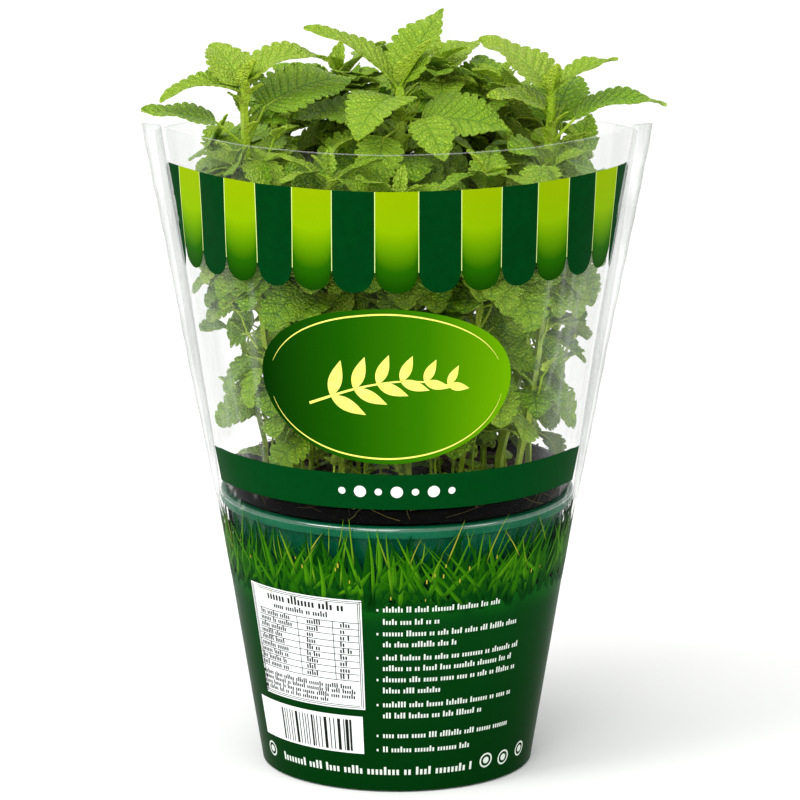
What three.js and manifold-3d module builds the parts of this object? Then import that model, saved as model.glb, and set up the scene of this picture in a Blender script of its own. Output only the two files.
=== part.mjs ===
// A lemon balm plant in its nursery pot, standing in a coloured cover pot, inside the clear
// conical sleeve that it is sold in. Millimetres, +Z up. The origin is the centre of the base,
// on the surface that the pot stands on; -Y is the front of the sleeve.

import * as THREE from 'three';
import { mergeVertices } from 'three/addons/utils/BufferGeometryUtils.js';
import Module from 'manifold-3d';

const wasm = await Module();
wasm.setup();

// ---------- Driving dimensions ----------

const FIT_GAP = 0.3; // clear space between pieces that touch

// The cover pot, a thin plastic pot with a bead round its rim
const COVER_HEIGHT = 94;
const COVER_BASE_RADIUS = 44.2;
const COVER_RIM_RADIUS = 59;
const COVER_WALL = 1.2;
const COVER_FLOOR = 1.6;
const COVER_FOOT_BEVEL = 1.5;
const COVER_BEAD_WIDTH = 2.6;
const COVER_BEAD_DEPTH = 4.2;
const COVER_BEAD_ROUNDING = 0.7;

// The nursery pot, which hangs in the cover pot by its lip
const NURSERY_TOP = 99.6;
const NURSERY_WALL = 1;
const NURSERY_FLOOR = 1.4;
const NURSERY_PLAY = 0.5; // between the walls of the two pots
const NURSERY_LIP_OVERHANG = 1.6;
const NURSERY_LIP_DEPTH = 5.3;
const NURSERY_ROUNDING = 1;
const DRAIN_HOLES = 5;
const DRAIN_RADIUS = 4.5;
const DRAIN_CIRCLE = 27;

// The soil, a little crowned and uneven
const SOIL_TOP = 94.4;
const SOIL_CROWN = 1.6;
const SOIL_SHOULDER = 1; // how far the soil's edge stays under its top
const SOIL_UNEVENNESS = 0.7;
const STEM_HOLE_BOTTOM = 80;
const STEM_HOLE_RADIUS = 2.9;

// The film sleeve, a cone that stands round the pot. Its front panel is taut and round; its back
// panel is slack, so above the pot it falls in and its edge dips.
const SLEEVE_BOTTOM = 0.4;
const SLEEVE_RIM_HEIGHT = 92; // where it rests on the cover pot's bead
const SLEEVE_TOP = 223.8;
const SLEEVE_WALL = 0.6;
const SLEEVE_BASE_RADIUS = 44.6;
const SLEEVE_RIM_RADIUS = 59.7;
const SLEEVE_TOP_RADIUS = 84.4;
const BACK_FLATNESS = 0.26; // share of the radius by which the back falls in at the top
const BACK_DIP = 18; // how far the middle of the back edge lies under the front edge

// The sleeve's two sealed side seams: flat against the pot, standing out sideways above it
const SEAM_INSET_TOP = 8.3; // how far the foot of a seam lies inside the sleeve's full width
const SEAM_INSET_LOW = 0.8;
const SEAM_STAND = 0.78; // share of the inset that the strip stands out by
const SEAM_SET_BACK = 3; // how far the strip's edge lies behind its foot at the top
const SEAM_FOOT = 1.1; // half the angle that the strip's foot covers, in degrees

// Stems and leaves
const STEM_WIDTH = 2.6;
const STEM_FOOT = 80.6; // lowest point of a stem, in its hole
const STEM_LEAN_START = 106; // height where a stem starts to lean
const STEM_LEAN_POWER = 1.7;
const BLADE_THICKNESS = 0.65;
const PETIOLE_WIDTH = 1.7;
const PETIOLE_THICKNESS = 1.4;
const LEAST_RISE = 20; // degrees by which a petiole rises, at least
const BLADE_SHOULDER = 0.35; // smaller is squarer at the foot of the blade
const LOBE_AT = 0.03; // where the blade reaches its full foot width
const TOOTH_DEPTH = 0.11;
const TOOTH_LEAN = 0.6; // how far towards the tip a tooth leans
const RIPPLE_LEAST = 0.02; // height of the margin's waves over the blade's length
const RIPPLE_MOST = 0.05;
const RIPPLE_TURNS = 11;
const LOWEST_LEAF = 112;

// Room round a leaf
const FILM_CLEARANCE = 1.5;
const LEAF_CLEARANCE = 4.2; // between leaves of different stems
const OWN_CLEARANCE = 2.6; // between leaves of one stem
const STEM_CLEARANCE = 3.1;
const SOIL_CLEARANCE = 4;
const RIM_MARGIN = 6; // nearer the pot's wall than this, leaves stay above its lip

// How leaves vary, and where shaded ones are missing
const SEED = 20417;
const HEIGHT_VARIES = 0.07;
const TURN_VARIES = 12;
const PITCH_VARIES = 8;
const LENGTH_VARIES = 0.08;
const SHOWY_STEMS = 3; // these stems have their own list of leaves at the tip
const SHOWY_PAIRS = 3;
const SHADED_PAIRS = 3; // from this pair down, leaves that point into the clump are missing
const SHADED_SIDE = 9;
const INNER_STEMS = 24; // stems within this radius are bare further down

// How finely curves are split
const ROUND_SIDES = 28;
const DRAIN_SIDES = 8;
const STEM_HOLE_SIDES = 6;
const STEM_STEPS = 7;
const FRONT_STATIONS = 12;
const BACK_STATIONS = 17;
const SLEEVE_UPPER_BANDS = 3;
const SOIL_RINGS = [0.76, 0.5, 0.25];
const LARGE_LEAF = 15; // blades longer than this have four teeth a side and two ribs' bends
const LARGE_RIB = [-1, 0, 0.3, 0.64];
const SMALL_RIB = [-1, 0, 0.5];
const SAMPLES_ALONG = [0.05, 0.22, 0.39, 0.56, 0.73, 0.9];
const SAMPLES_ACROSS = [-0.95, -0.48, 0, 0.48, 0.95];
const STALK_SAMPLES = [-0.6, -0.3, 0];
const OUTER_BLADE = 0.3; // beyond this a blade must keep clear of its own stem and leaves

// Ways to bend a leaf aside: turn and lift in degrees, scale
const BENT_ASIDE = [
  [0, 0, 1],
  [0, 14, 1],
  [0, -14, 1],
  [18, 5, 1],
  [-18, 5, 1],
  [0, 28, 0.92],
  [30, 12, 0.9],
  [-30, 12, 0.9],
  [0, -26, 0.85],
  [0, 42, 0.8],
  [40, 30, 0.75],
  [-40, 30, 0.75],
  [0, 10, 0.65],
  [25, 0, 0.6],
  [-25, 0, 0.6],
];

// The leaf pairs down a stem. below is the distance under the tip; pitch is how steeply the blade
// starts, bend how far it droops by its tip, fold how far its halves are raised; all in degrees.
const leafPairs = [
  { below: 1.5, petiole: 1.5, length: 12, width: 6.5, pitch: 66, bend: 30, fold: 32, teeth: 2, point: 1 },
  { below: 7, petiole: 4, length: 24, width: 15, pitch: 42, bend: 45, fold: 14, teeth: 4, point: 0.9 },
  { below: 20, petiole: 10, length: 29, width: 21, pitch: 22, bend: 48, fold: 10, teeth: 4, point: 0.85 },
  { below: 42, petiole: 9, length: 22, width: 18, pitch: 8, bend: 62, fold: 8, teeth: 3, point: 0.75 },
  { below: 63, petiole: 8, length: 20, width: 17, pitch: -4, bend: 60, fold: 8, teeth: 3, point: 0.65 },
  { below: 86, petiole: 8, length: 19, width: 17, pitch: -8, bend: 58, fold: 6, teeth: 3, point: 0.65 },
];

// Leaves at the tips of the first three stems: stem, below, azimuth, rise of the petiole, its
// length, pitch, bend, fold and roll of the blade, its length and width
const tipLeaves = [
  [0, 2, 178, 60, 3, 52, 42, 12, -6, 36, 18],
  [0, 3, 48, 75, 4, 60, 28, 15, 0, 30, 20],
  [0, 1, -35, 70, 2, 58, 12, 32, 0, 20, 10],
  [0, 5, 237, 25, 3, 12, 75, 8, 0, 27, 22],
  [0, 20, -18, 50, 11, 14, 35, 8, 24, 31, 24],
  [0, 19, 165, 45, 10, 18, 40, 8, -14, 30, 22],
  [1, 0, 18, 60, 3, 60, 76, 14, 8, 30, 17],
  [1, 2, 125, 70, 2, 48, 35, 10, 0, 22, 20],
  [1, 3, 188, 50, 2, 42, 70, 15, -8, 28, 14],
  [1, 20, 187, 40, 13, 17, 14, 6, -6, 25, 19],
  [1, 20, 12, 58, 14, 24, 40, 6, 14, 37, 26],
  [1, 1, -60, 70, 1, 62, 20, 32, 0, 13, 7],
  [2, 2, 152, 70, 3, 48, 40, 8, 0, 30, 23],
  [2, 2, 8, 60, 3, 44, 40, 14, 6, 23, 13],
  [2, 18, 0, 47, 12, 39, 63, 8, 6, 32, 18],
  [2, 8, 182, 40, 3, 22, 50, 10, -10, 20, 15],
  [2, 1, -70, 70, 1, 65, 15, 32, 0, 12, 7],
  [2, 18, 70, 55, 8, 45, 40, 8, 0, 26, 19],
];

// ---------- Small helpers ----------

const rad = THREE.MathUtils.degToRad;
const deg = THREE.MathUtils.radToDeg;

let draw = SEED;

function random(low, high) {
  draw = (draw * 16807) % 2147483647;
  return low + (high - low) * (draw / 2147483647);
}

function lathe(profile, sides = ROUND_SIDES) {
  const points = profile.map(([r, z]) => new THREE.Vector2(r, z));
  return new THREE.LatheGeometry(points, sides).rotateX(Math.PI / 2);
}

function solidOf(geometry) {
  geometry.deleteAttribute('normal');
  geometry.deleteAttribute('uv');
  const merged = mergeVertices(geometry, 1e-4);
  return new wasm.Manifold(new wasm.Mesh({
    numProp: 3,
    vertProperties: Float32Array.from(merged.attributes.position.array),
    triVerts: Uint32Array.from(merged.index.array),
  }));
}

function geometryOf(solid) {
  const mesh = solid.getMesh();
  const geometry = new THREE.BufferGeometry();
  geometry.setAttribute('position', new THREE.BufferAttribute(mesh.vertProperties, 3));
  geometry.setIndex(new THREE.BufferAttribute(mesh.triVerts, 1));
  geometry.computeVertexNormals();
  return geometry;
}

const lemonBalm = new THREE.Group();
lemonBalm.name = 'lemon_balm_plant';

function addPiece(name, geometry, finish) {
  const piece = new THREE.Mesh(geometry, new THREE.MeshStandardMaterial(finish));
  piece.name = name;
  lemonBalm.add(piece);
}

const finishes = {
  coverPlastic: { color: 0x0a6540, roughness: 0.32, metalness: 0 },
  nurseryPlastic: { color: 0x0c0c0c, roughness: 0.3, metalness: 0 },
  soil: { color: 0x2b1d13, roughness: 0.95, metalness: 0 },
  film: { color: 0xf2f5f3, roughness: 0.12, metalness: 0, transparent: true, opacity: 0.25 },
  leaf: { color: 0x6f9a2c, roughness: 0.6, metalness: 0 },
};

// ---------- Pots ----------

const coverOutside = (z) => THREE.MathUtils.lerp(
  COVER_BASE_RADIUS, COVER_RIM_RADIUS - COVER_BEAD_WIDTH, z / COVER_HEIGHT);
const coverInside = (z) => coverOutside(z) - COVER_WALL;

function coverPot() {
  const beadFoot = COVER_HEIGHT - COVER_BEAD_DEPTH;
  const beadMiddle = COVER_HEIGHT - COVER_BEAD_DEPTH / 2;
  return lathe([
    [0, 0],
    [COVER_BASE_RADIUS - COVER_FOOT_BEVEL, 0],
    [coverOutside(COVER_FOOT_BEVEL), COVER_FOOT_BEVEL],
    [coverOutside(beadFoot), beadFoot],
    [COVER_RIM_RADIUS - COVER_BEAD_ROUNDING, beadFoot + COVER_BEAD_ROUNDING],
    [COVER_RIM_RADIUS, beadMiddle],
    [COVER_RIM_RADIUS - COVER_BEAD_ROUNDING, COVER_HEIGHT],
    [coverInside(COVER_HEIGHT), COVER_HEIGHT],
    [coverInside(COVER_FLOOR), COVER_FLOOR],
    [0, COVER_FLOOR],
  ]);
}

const nurseryBottom = COVER_FLOOR + FIT_GAP;
const nurseryOutside = (z) => coverInside(z) - NURSERY_PLAY;
const nurseryInside = (z) => nurseryOutside(z) - NURSERY_WALL;
const SOIL_RADIUS = nurseryInside(SOIL_TOP) - FIT_GAP;

function nurseryPot() {
  const lipFoot = NURSERY_TOP - NURSERY_LIP_DEPTH;
  const lipOutside = nurseryOutside(NURSERY_TOP) + NURSERY_LIP_OVERHANG;
  const pot = solidOf(lathe([
    [0, nurseryBottom],
    [nurseryOutside(nurseryBottom) - NURSERY_ROUNDING, nurseryBottom],
    [nurseryOutside(nurseryBottom + NURSERY_ROUNDING), nurseryBottom + NURSERY_ROUNDING],
    [nurseryOutside(lipFoot), lipFoot],
    [lipOutside - NURSERY_ROUNDING / 2, lipFoot],
    [lipOutside, lipFoot + NURSERY_ROUNDING],
    [lipOutside, NURSERY_TOP - NURSERY_ROUNDING],
    [lipOutside - NURSERY_ROUNDING, NURSERY_TOP],
    [nurseryInside(NURSERY_TOP), NURSERY_TOP],
    [nurseryInside(nurseryBottom + NURSERY_FLOOR), nurseryBottom + NURSERY_FLOOR],
    [0, nurseryBottom + NURSERY_FLOOR],
  ]));
  const drains = [];
  for (let i = 0; i < DRAIN_HOLES; i += 1) {
    const angle = (i / DRAIN_HOLES) * 2 * Math.PI;
    const depth = 4 * NURSERY_FLOOR;
    const drain = new THREE.CylinderGeometry(DRAIN_RADIUS, DRAIN_RADIUS, depth, DRAIN_SIDES);
    drain.rotateX(Math.PI / 2);
    drain.translate(
      DRAIN_CIRCLE * Math.cos(angle), DRAIN_CIRCLE * Math.sin(angle), nurseryBottom);
    drains.push(solidOf(drain));
  }
  return geometryOf(pot.subtract(wasm.Manifold.union(drains)));
}

// ---------- Sleeve ----------

// Share of the way from the pot's rim to the top edge
const aboveRim = (z) => Math.max(0, (z - SLEEVE_RIM_HEIGHT) / (SLEEVE_TOP - SLEEVE_RIM_HEIGHT));

function sleeveRadius(z) {
  if (z < SLEEVE_RIM_HEIGHT) {
    return THREE.MathUtils.lerp(SLEEVE_BASE_RADIUS, SLEEVE_RIM_RADIUS, z / SLEEVE_RIM_HEIGHT);
  }
  return THREE.MathUtils.lerp(SLEEVE_RIM_RADIUS, SLEEVE_TOP_RADIUS, aboveRim(z));
}

// How far in from the sleeve's full width a seam has its foot, and the angle of that place
const seamInset = (z) => THREE.MathUtils.lerp(SEAM_INSET_LOW, SEAM_INSET_TOP, Math.sqrt(aboveRim(z)));
const seamAngle = (z) => deg(Math.asin(1 - seamInset(z) / (sleeveRadius(z) + SLEEVE_WALL)));

// 0 on the front panel, 1 in the middle of the back; angles are degrees round from the front
function behindSeam(angle, z) {
  const seam = seamAngle(z);
  return Math.max(0, (Math.abs(angle) - seam) / (180 - seam));
}

// Inside radius of the film
function filmRadius(angle, z) {
  const slack = aboveRim(z) * Math.sin((Math.PI / 2) * behindSeam(angle, z));
  return sleeveRadius(z) * (1 - BACK_FLATNESS * slack);
}

// Height of the film's top edge
const filmTop = (angle) => SLEEVE_TOP - BACK_DIP * Math.sqrt(behindSeam(angle, SLEEVE_TOP));

// One closed outline of the film: the inside face, or the outside face with the two seam strips.
// z is its height at the front.
function filmOutline(z, outside) {
  const seam = seamAngle(z);
  const stations = [];
  for (let i = 0; i < FRONT_STATIONS; i += 1) {
    const round = i / (FRONT_STATIONS - 1);
    stations.push({ angle: THREE.MathUtils.lerp(SEAM_FOOT - seam, seam - SEAM_FOOT, round), strip: 0 });
  }
  stations.push({ angle: seam - SEAM_FOOT / 2, strip: 1 });
  stations.push({ angle: seam + SEAM_FOOT / 2, strip: 1 });
  const backStart = seam + SEAM_FOOT;
  for (let i = 0; i < BACK_STATIONS; i += 1) {
    const round = i / (BACK_STATIONS - 1);
    stations.push({ angle: THREE.MathUtils.lerp(backStart, 360 - backStart, round), strip: 0 });
  }
  stations.push({ angle: 360 - seam - SEAM_FOOT / 2, strip: -1 });
  stations.push({ angle: 360 - seam + SEAM_FOOT / 2, strip: -1 });
  return stations.map(({ angle, strip }) => {
    const fromFront = angle > 180 ? angle - 360 : angle;
    const height = z > SLEEVE_RIM_HEIGHT
      ? THREE.MathUtils.lerp(SLEEVE_RIM_HEIGHT, strip ? SLEEVE_TOP : filmTop(fromFront), aboveRim(z))
      : z;
    const r = filmRadius(fromFront, z) + (outside ? SLEEVE_WALL : 0);
    const stand = outside ? strip * SEAM_STAND * seamInset(z) : 0;
    const back = outside && strip ? SEAM_SET_BACK * aboveRim(z) : 0;
    return [r * Math.sin(rad(angle)) + stand, back - r * Math.cos(rad(angle)), height];
  });
}

// A closed surface through outlines of equal count, the last one joined to the first
function closedTube(outlines) {
  const count = outlines[0].length;
  const index = [];
  outlines.forEach((outline, i) => {
    const next = (i + 1) % outlines.length;
    outline.forEach((point, j) => {
      const k = (j + 1) % count;
      const [a, b, c, d] = [i * count + j, i * count + k, next * count + k, next * count + j];
      index.push(a, b, c, a, c, d);
    });
  });
  const geometry = new THREE.BufferGeometry();
  geometry.setAttribute('position', new THREE.Float32BufferAttribute(outlines.flat(2), 3));
  geometry.setIndex(index);
  geometry.computeVertexNormals();
  return geometry;
}

function sleeve() {
  const heights = [SLEEVE_BOTTOM, SLEEVE_RIM_HEIGHT];
  for (let i = 1; i <= SLEEVE_UPPER_BANDS; i += 1) {
    heights.push(THREE.MathUtils.lerp(SLEEVE_RIM_HEIGHT, SLEEVE_TOP, i / SLEEVE_UPPER_BANDS));
  }
  const outside = heights.map((z) => filmOutline(z, true));
  const inside = heights.map((z) => filmOutline(z, false)).reverse();
  return closedTube([...outside, ...inside]);
}

// ---------- Stems ----------

// Every stem: the foot in the soil, the tip, the direction of its youngest leaf pair, leaf size
const stems = [
  { foot: [2, -14], tip: [1, -20, 233.5], turn: 0, size: 1 },
  { foot: [-34, -14], tip: [-50, -24, 234], turn: 30, size: 1 },
  { foot: [34, -12], tip: [50.5, -24, 232.5], turn: 60, size: 1 },
  { foot: [-18, -34], tip: [-22, -46, 210], turn: 95, size: 0.8 },
  { foot: [4, -38], tip: [1, -49, 204], turn: 85, size: 0.85 },
  { foot: [21, -31], tip: [29, -44, 209], turn: 176, size: 0.8 },
  { foot: [-36, -26], tip: [-46, -33, 193], turn: 55, size: 0.75 },
  { foot: [40, -22], tip: [50, -32, 196], turn: 120, size: 0.75 },
  { foot: [-44, 8], tip: [-59, 12, 209], turn: 5, size: 0.8 },
  { foot: [44, 10], tip: [60, 13, 206], turn: 160, size: 0.8 },
  { foot: [12, 14], tip: [15, 26, 233], turn: 140, size: 0.95 },
  { foot: [-16, 12], tip: [-20, 22, 230], turn: 70, size: 0.95 },
  { foot: [29, 13], tip: [34, 24, 226], turn: 20, size: 0.9 },
  { foot: [-28, 31], tip: [-40, 42, 216], turn: 130, size: 0.9 },
  { foot: [0, 37], tip: [1, 52, 216], turn: 40, size: 0.9 },
  { foot: [26, 33], tip: [38, 43, 213], turn: 60, size: 0.9 },
];

// A stem leaves the soil upright, leans out and straightens again towards its tip
function stemAxis(stem, z) {
  const climb = Math.max(0, (z - STEM_LEAN_START) / (stem.tip[2] - STEM_LEAN_START));
  const lean = 1 - Math.max(0, 1 - climb) ** STEM_LEAN_POWER;
  return [
    stem.foot[0] + (stem.tip[0] - stem.foot[0]) * lean,
    stem.foot[1] + (stem.tip[1] - stem.foot[1]) * lean,
    z,
  ];
}

class StemCurve extends THREE.Curve {
  constructor(stem) {
    super();
    this.stem = stem;
  }

  getPoint(u) {
    const z = THREE.MathUtils.lerp(STEM_FOOT, this.stem.tip[2], u);
    return new THREE.Vector3(...stemAxis(this.stem, z));
  }
}

function stemSolid(stem) {
  const half = STEM_WIDTH / 2;
  const square = new THREE.Shape([
    new THREE.Vector2(-half, -half),
    new THREE.Vector2(half, -half),
    new THREE.Vector2(half, half),
    new THREE.Vector2(-half, half),
  ]);
  const path = new StemCurve(stem);
  return solidOf(new THREE.ExtrudeGeometry(square, { extrudePath: path, steps: STEM_STEPS }));
}

// ---------- Leaves ----------

// A point of a leaf. along runs from -1 at the stem over 0 at the foot of the blade to 1 at its
// tip, across from -1 to 1 between the margins, and lift is the height over the middle surface.
function leafPoint(leaf, along, halfWidth, across, lift) {
  const out = [Math.cos(leaf.azimuth), Math.sin(leaf.azimuth)];
  const onPetiole = Math.min(0, along) + 1;
  const onBlade = Math.max(0, along);
  const slope = along < 0 ? leaf.rise : leaf.pitch - leaf.bend * onBlade;
  const run = leaf.petiole * onPetiole * Math.cos(leaf.rise)
    + (leaf.length * (Math.sin(leaf.pitch) - Math.sin(leaf.pitch - leaf.bend * onBlade))) / leaf.bend;
  const climb = leaf.petiole * onPetiole * Math.sin(leaf.rise)
    + (leaf.length * (Math.cos(leaf.pitch - leaf.bend * onBlade) - Math.cos(leaf.pitch))) / leaf.bend;
  const fold = along < 0 ? 0 : leaf.fold;
  const side = halfWidth * across * Math.cos(fold);
  const wave = leaf.ripple * Math.abs(across) * onBlade * Math.sin(RIPPLE_TURNS * onBlade + 2 * across);
  const raised = halfWidth * Math.abs(across) * Math.sin(fold) + wave + lift;
  const level = side * Math.cos(leaf.roll) - raised * Math.sin(leaf.roll);
  const up = side * Math.sin(leaf.roll) + raised * Math.cos(leaf.roll);
  const forward = run - up * Math.sin(slope);
  return [
    leaf.root[0] + out[0] * forward - out[1] * level,
    leaf.root[1] + out[1] * forward + out[0] * level,
    leaf.root[2] + climb + up * Math.cos(slope),
  ];
}

// Half the width of the blade without its teeth: broad near the foot and pointed at the tip
function bladeHalfWidth(leaf, along) {
  const shape = (1 - along) ** leaf.point * along ** BLADE_SHOULDER;
  const widest = BLADE_SHOULDER / (BLADE_SHOULDER + leaf.point);
  const most = (1 - widest) ** leaf.point * widest ** BLADE_SHOULDER;
  return (leaf.width / 2) * (shape / most);
}

// The margin from the stem to just before the tip: the petiole, the lobe at its foot, the teeth
function marginStations(leaf) {
  const stations = [
    { along: -1, half: PETIOLE_WIDTH / 2 },
    { along: 0, half: PETIOLE_WIDTH / 2 },
    { along: LOBE_AT, half: bladeHalfWidth(leaf, LOBE_AT) },
  ];
  for (let tooth = 0; tooth < leaf.teeth; tooth += 1) {
    const notch = tooth / leaf.teeth;
    const peak = (tooth + TOOTH_LEAN) / leaf.teeth;
    if (tooth > 0) {
      stations.push({ along: notch, half: bladeHalfWidth(leaf, notch) * (1 - TOOTH_DEPTH) });
    }
    stations.push({ along: peak, half: bladeHalfWidth(leaf, peak) * (1 + TOOTH_DEPTH) });
  }
  return stations;
}

function leafSolid(leaf) {
  const margin = marginStations(leaf);
  const ribs = leaf.teeth > 3 ? LARGE_RIB : SMALL_RIB;
  const points = [];
  const addPair = (along, half, across) => {
    const thickness = along <= 0 ? PETIOLE_THICKNESS : BLADE_THICKNESS;
    points.push(leafPoint(leaf, along, half, across, thickness / 2));
    points.push(leafPoint(leaf, along, half, across, -thickness / 2));
    return points.length - 2;
  };
  const rib = ribs.map((along) => addPair(along, 0, 0));
  const tip = addPair(1, 0, 0);
  const index = [];
  [-1, 1].forEach((across) => {
    const edge = margin.map(({ along, half }) => addPair(along, half, across));
    const addTriangle = (a, b, c) => {
      const top = across < 0 ? [a, b, c] : [a, c, b];
      index.push(...top, top[0] + 1, top[2] + 1, top[1] + 1);
    };
    const addWall = (a, b) => {
      const [p, q] = across < 0 ? [a, b] : [b, a];
      index.push(p, p + 1, q + 1, p, q + 1, q);
    };
    const ribLine = [...rib, tip];
    const edgeLine = [...edge, tip];
    const ribAlong = [...ribs, 1];
    const edgeAlong = [...margin.map(({ along }) => along), 1];
    let [i, j] = [0, 0];
    while (i < ribLine.length - 1 || j < edgeLine.length - 1) {
      const ribNext = i < ribLine.length - 1 ? ribAlong[i + 1] : Infinity;
      const edgeNext = j < edgeLine.length - 1 ? edgeAlong[j + 1] : Infinity;
      if (ribNext < edgeNext) {
        addTriangle(ribLine[i], edgeLine[j], ribLine[i + 1]);
        i += 1;
      } else {
        if (i < ribLine.length - 1 || j < edgeLine.length - 2) {
          addTriangle(ribLine[i], edgeLine[j], edgeLine[j + 1]);
        }
        addWall(edgeLine[j], edgeLine[j + 1]);
        j += 1;
      }
    }
    addWall(rib[0], edge[0]);
  });
  const geometry = new THREE.BufferGeometry();
  geometry.setAttribute('position', new THREE.Float32BufferAttribute(points.flat(), 3));
  geometry.setIndex(index);
  return solidOf(geometry);
}

// ---------- Where leaves have room ----------

const bladeSamples = [];
SAMPLES_ALONG.forEach((along) => {
  SAMPLES_ACROSS.forEach((across) => bladeSamples.push({ along, across }));
});
bladeSamples.push({ along: 1, across: 0 });
const stalkSamples = STALK_SAMPLES.map((along) => ({ along, across: 0 }));

function samplePoints(leaf, samples) {
  return samples.map(({ along, across }) => {
    const half = along > 0 ? bladeHalfWidth(leaf, along) : 0;
    return leafPoint(leaf, along, half, across, 0);
  });
}

function insideFilm([x, y, z]) {
  const angle = deg(Math.atan2(x, -y));
  if (z > filmTop(angle) + FILM_CLEARANCE) {
    return true;
  }
  const fromCentre = Math.sqrt(x * x + y * y);
  const ground = fromCentre > SOIL_RADIUS - RIM_MARGIN ? NURSERY_TOP : SOIL_TOP;
  return z > ground + SOIL_CLEARANCE && fromCentre < filmRadius(angle, z) - FILM_CLEARANCE;
}

function stemIsNear(stem, [x, y, z], clearance) {
  if (z > stem.tip[2] + clearance) {
    return false;
  }
  const axis = stemAxis(stem, Math.min(z, stem.tip[2]));
  return (x - axis[0]) ** 2 + (y - axis[1]) ** 2 < clearance ** 2;
}

function areNear(points, others, clearance) {
  return points.some((a) => others.some((b) => (
    (a[0] - b[0]) ** 2 + (a[1] - b[1]) ** 2 + (a[2] - b[2]) ** 2 < clearance ** 2)));
}

const leaves = [];

function hasRoom(leaf) {
  const blade = samplePoints(leaf, bladeSamples);
  const stalk = samplePoints(leaf, stalkSamples);
  const whole = [...blade, ...stalk];
  if (!blade.every(insideFilm)) {
    return false;
  }
  const outer = blade.filter((point, i) => bladeSamples[i].along > OUTER_BLADE);
  const meetsStem = stems.some((stem, i) => (i === leaf.stem
    ? outer.some((point) => stemIsNear(stem, point, STEM_CLEARANCE))
    : whole.some((point) => stemIsNear(stem, point, STEM_CLEARANCE))));
  if (meetsStem) {
    return false;
  }
  return !leaves.some((other) => (other.stem === leaf.stem
    ? areNear(outer, other.outer, OWN_CLEARANCE)
    : areNear(whole, other.whole, LEAF_CLEARANCE)));
}

// Tries a leaf as it would grow, then bent or turned aside or smaller, and drops it if no way is free
function growLeaf(wish) {
  for (const [turn, lift, scale] of BENT_ASIDE) {
    const leaf = {
      ...wish,
      azimuth: wish.azimuth + rad(turn),
      pitch: wish.pitch + rad(lift),
      rise: wish.rise + rad(lift / 2),
      length: wish.length * scale,
      width: wish.width * scale,
    };
    if (hasRoom(leaf)) {
      const blade = samplePoints(leaf, bladeSamples);
      leaf.outer = blade.filter((point, i) => bladeSamples[i].along > OUTER_BLADE);
      leaf.whole = [...blade, ...samplePoints(leaf, stalkSamples)];
      leaves.push(leaf);
      return;
    }
  }
}

// The showy leaves round the tips of the three tallest stems
tipLeaves.forEach((row) => {
  const [stem, below, azimuth, rise, petiole, pitch, bend, fold, roll, length, width] = row;
  growLeaf({
    stem,
    root: stemAxis(stems[stem], stems[stem].tip[2] - below),
    azimuth: rad(azimuth),
    rise: rad(rise),
    petiole,
    pitch: rad(pitch),
    bend: rad(bend),
    fold: rad(fold),
    roll: rad(roll),
    length,
    width,
    ripple: length * random(RIPPLE_LEAST, RIPPLE_MOST),
    teeth: length > LARGE_LEAF ? 4 : 2,
    point: 0.9,
  });
});

// All other leaves stand in pairs, each pair crosswise to the one above it
leafPairs.forEach((pair, rank) => {
  stems.forEach((stem, i) => {
    const height = stem.tip[2] - pair.below * random(1 - HEIGHT_VARIES, 1 + HEIGHT_VARIES);
    const ownTip = i < SHOWY_STEMS && rank < SHOWY_PAIRS;
    [0, 180].forEach((side) => {
      const wish = {
        stem: i,
        root: stemAxis(stem, height),
        azimuth: rad(stem.turn + 90 * rank + side + random(-TURN_VARIES, TURN_VARIES)),
        rise: rad(Math.max(LEAST_RISE, pair.pitch + LEAST_RISE)),
        petiole: pair.petiole * stem.size,
        pitch: rad(pair.pitch + random(-PITCH_VARIES, PITCH_VARIES)),
        bend: rad(pair.bend + random(-TURN_VARIES, TURN_VARIES)),
        fold: rad(pair.fold),
        roll: rad(random(-TURN_VARIES, TURN_VARIES)),
        length: pair.length * stem.size * random(1 - LENGTH_VARIES, 1 + LENGTH_VARIES),
        width: pair.width * stem.size,
        ripple: pair.length * random(RIPPLE_LEAST, RIPPLE_MOST),
        teeth: pair.teeth,
        point: pair.point,
      };
      const outward = Math.cos(wish.azimuth) * stem.foot[0] + Math.sin(wish.azimuth) * stem.foot[1];
      const inner = Math.hypot(...stem.foot) < INNER_STEMS;
      const shaded = rank >= SHADED_PAIRS && (outward < SHADED_SIDE || (inner && rank > SHADED_PAIRS));
      if (!ownTip && !shaded && height > LOWEST_LEAF) {
        growLeaf(wish);
      }
    });
  });
});

// ---------- Soil ----------

function soilHeight(x, y) {
  const crown = SOIL_CROWN * (1 - (x * x + y * y) / SOIL_RADIUS ** 2);
  return SOIL_TOP + crown + SOIL_UNEVENNESS * Math.sin(0.31 * x + 1.1) * Math.cos(0.27 * y - 0.4);
}

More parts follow.
